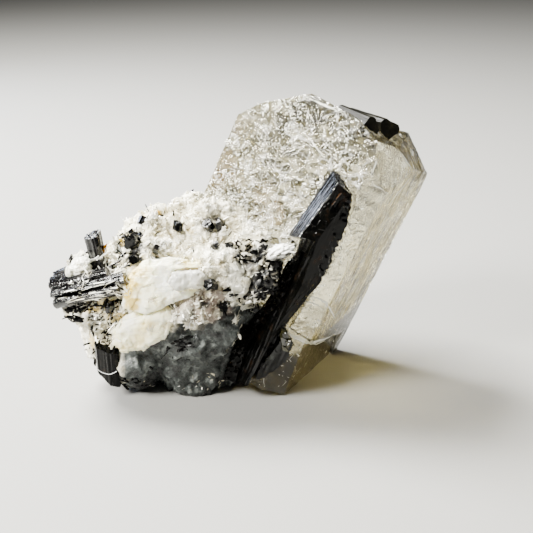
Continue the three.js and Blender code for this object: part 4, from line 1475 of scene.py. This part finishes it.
# Black needles and crumbs: outline in the photograph, how many, usual angle and its spread in
# degrees, longest length and width in mm
NEEDLE_BEDS = [
    ([(60, 290), (90, 284), (126, 280), (118, 302), (76, 310), (56, 302)], 90, 14, 12, 3.4, 0.42),
    ([(56, 262), (72, 256), (72, 282), (54, 284)], 40, 30, 40, 2.0, 0.6),
    ([(72, 280), (90, 272), (128, 258), (128, 274), (90, 284)], 40, 20, 25, 2.4, 0.4),
    ([(84, 238), (100, 236), (104, 262), (84, 262)], 24, 70, 25, 2.2, 0.5),
    ([(118, 232), (140, 230), (138, 262), (118, 262)], 36, 60, 30, 2.4, 0.6),
    ([(84, 305), (118, 300), (124, 330), (112, 350), (92, 352)], 60, 40, 60, 1.6, 0.34),
    ([(90, 345), (120, 345), (125, 385), (100, 385)], 36, 80, 40, 2.0, 0.5),
    ([(56, 300), (80, 306), (86, 320), (66, 322)], 30, -30, 60, 1.6, 0.6),
    ([(236, 238), (276, 238), (276, 264), (236, 262)], 90, 12, 40, 1.0, 0.45),
    ([(262, 262), (300, 256), (296, 300), (262, 304)], 150, 50, 60, 1.0, 0.5),
    ([(228, 284), (262, 286), (260, 300), (226, 300)], 30, 10, 60, 1.0, 0.5),
    ([(246, 300), (290, 300), (262, 350), (240, 352)], 60, 55, 20, 1.8, 0.4),
    ([(168, 338), (194, 336), (190, 350), (168, 352)], 16, 10, 30, 1.4, 0.5),
    # Along the bottom edge these black needles are partly painted shade.
    ([(118, 376), (165, 382), (165, 394), (120, 390)], 30, 0, 30, 1.4, 0.5),
    ([(140, 200), (200, 200), (215, 250), (135, 262)], 16, 40, 90, 0.7, 0.3),
    ([(160, 350), (230, 340), (225, 390), (165, 392)], 9, 20, 60, 0.7, 0.3),
    ([(150, 262), (205, 262), (200, 268), (160, 300)], 5, 30, 60, 0.6, 0.2),
    ([(136, 316), (139, 316), (139, 319), (136, 319)], 2, 27, 1, 2.6, 0.26),
    ([(101, 329), (105, 329), (105, 333), (101, 333)], 3, 60, 60, 1.4, 0.3),
    ([(224, 304), (226, 304), (226, 312), (224, 312)], 4, 85, 6, 2.2, 0.6),
    ([(118, 296), (128, 290), (126, 304), (116, 306)], 9, 40, 40, 1.2, 0.3),
]


def black_needles(trees, carriers, mass, look):
    """Needles and crumbs in their beds on the photograph, and a few all over the mass."""
    feet, ways, length, width = bed(NEEDLE_BEDS, 200, trees, carriers, 0.45, 0.4)
    rng = np.random.default_rng(290)

    def wanted(p, n):
        return np.where((n[:, 1] > -0.2) & (p[:, 2] > 1.5), 1.0, 0.02)

    at, normals = on_skin(*mass, 260, 291, wanted)
    way = unit(rng.normal(size=at.shape) + 0.4 * normals)
    feet = np.concatenate([feet, at - way * 0.3])
    ways = np.concatenate([ways, way])
    length = np.concatenate([length, 0.5 + 1.6 * rng.random(len(at)) ** 2])
    width = np.concatenate([width, 0.14 + 0.4 * rng.random(len(at)) ** 2])
    spin = np.random.default_rng(292).random(len(feet)) * FULL_TURN
    sizes = (length, width, width * 0.8)
    small_crystals("black_needles", look, feet, ways, sizes, spin, taper=0.9)


# Assembly


def specimen():
    """All pieces, from the topaz out to the dust. Later ones grow on the skins of earlier ones."""
    topaz_skin = topaz(etched_topaz())
    # Healed cracks are films of gas, which throw all light back as a mirror does.
    mirror = {"Roughness": 0.16, "Metallic": 1.0}
    inner_cracks(topaz_skin, plain_look("healed_crack", "#fffef8", mirror))
    # Edges and facets that face the light are painted white as highlights, and those in the shade are
    # painted brown as shade.
    white = etch_look("highlight_white", "#fffff4")
    edge_highlights(topaz_skin, white)
    etch_strokes("bright_etch_lines", topaz_skin, 9000, 61, 0.9, 0.085, white)
    etch_strokes("long_etch_lines", topaz_skin, 420, 65, 3.6, 0.07, white)
    shade = etch_look("etch_shade", "#35331f")
    etch_strokes("dark_etch_lines", topaz_skin, 3000, 71, 0.9, 0.12, shade)
    bright_facets(topaz_skin, white)
    # Growth lines are pale yellow on their lit side and olive on the other.
    yellow, olive = etch_look("growth_line", "#fbefb8"), etch_look("growth_shade", "#6d6640")
    etch_strokes("bright_growth_lines", topaz_skin, 1300, 81, 6.0, 0.16, yellow, ribs=True)
    etch_strokes("dark_growth_lines", topaz_skin, 1300, 91, 5.0, 0.14, olive, ribs=True)
    topaz_tree = tree_of(*topaz_skin)
    tourmaline_skins, main_look = tourmalines(topaz_tree)
    feldspar_skins = feldspars()
    mass = feldspar_skins[0]
    trees = [tree_of(*skin) for skin in feldspar_skins + tourmaline_skins]
    black_border(main_look, [*trees, topaz_tree])
    plate_look = albite_plate_white()
    albite_plates(mass, trees, plate_look)
    bright_plates(trees, plate_look)
    fibre_sprays(trees, plate_look)
    albite_grains(mass, trees, plate_look)
    coloured_chips(trees)
    dust_fibre(trees)
    # Needles and crumbs of schorl, so small that they look plain black
    needle_look = black_tourmaline("schorl_needles", (0.6, -0.5, 0.6), 0.08)
    black_needles(trees, 1, mass, needle_look)


camera()
table()
studio()
specimen()
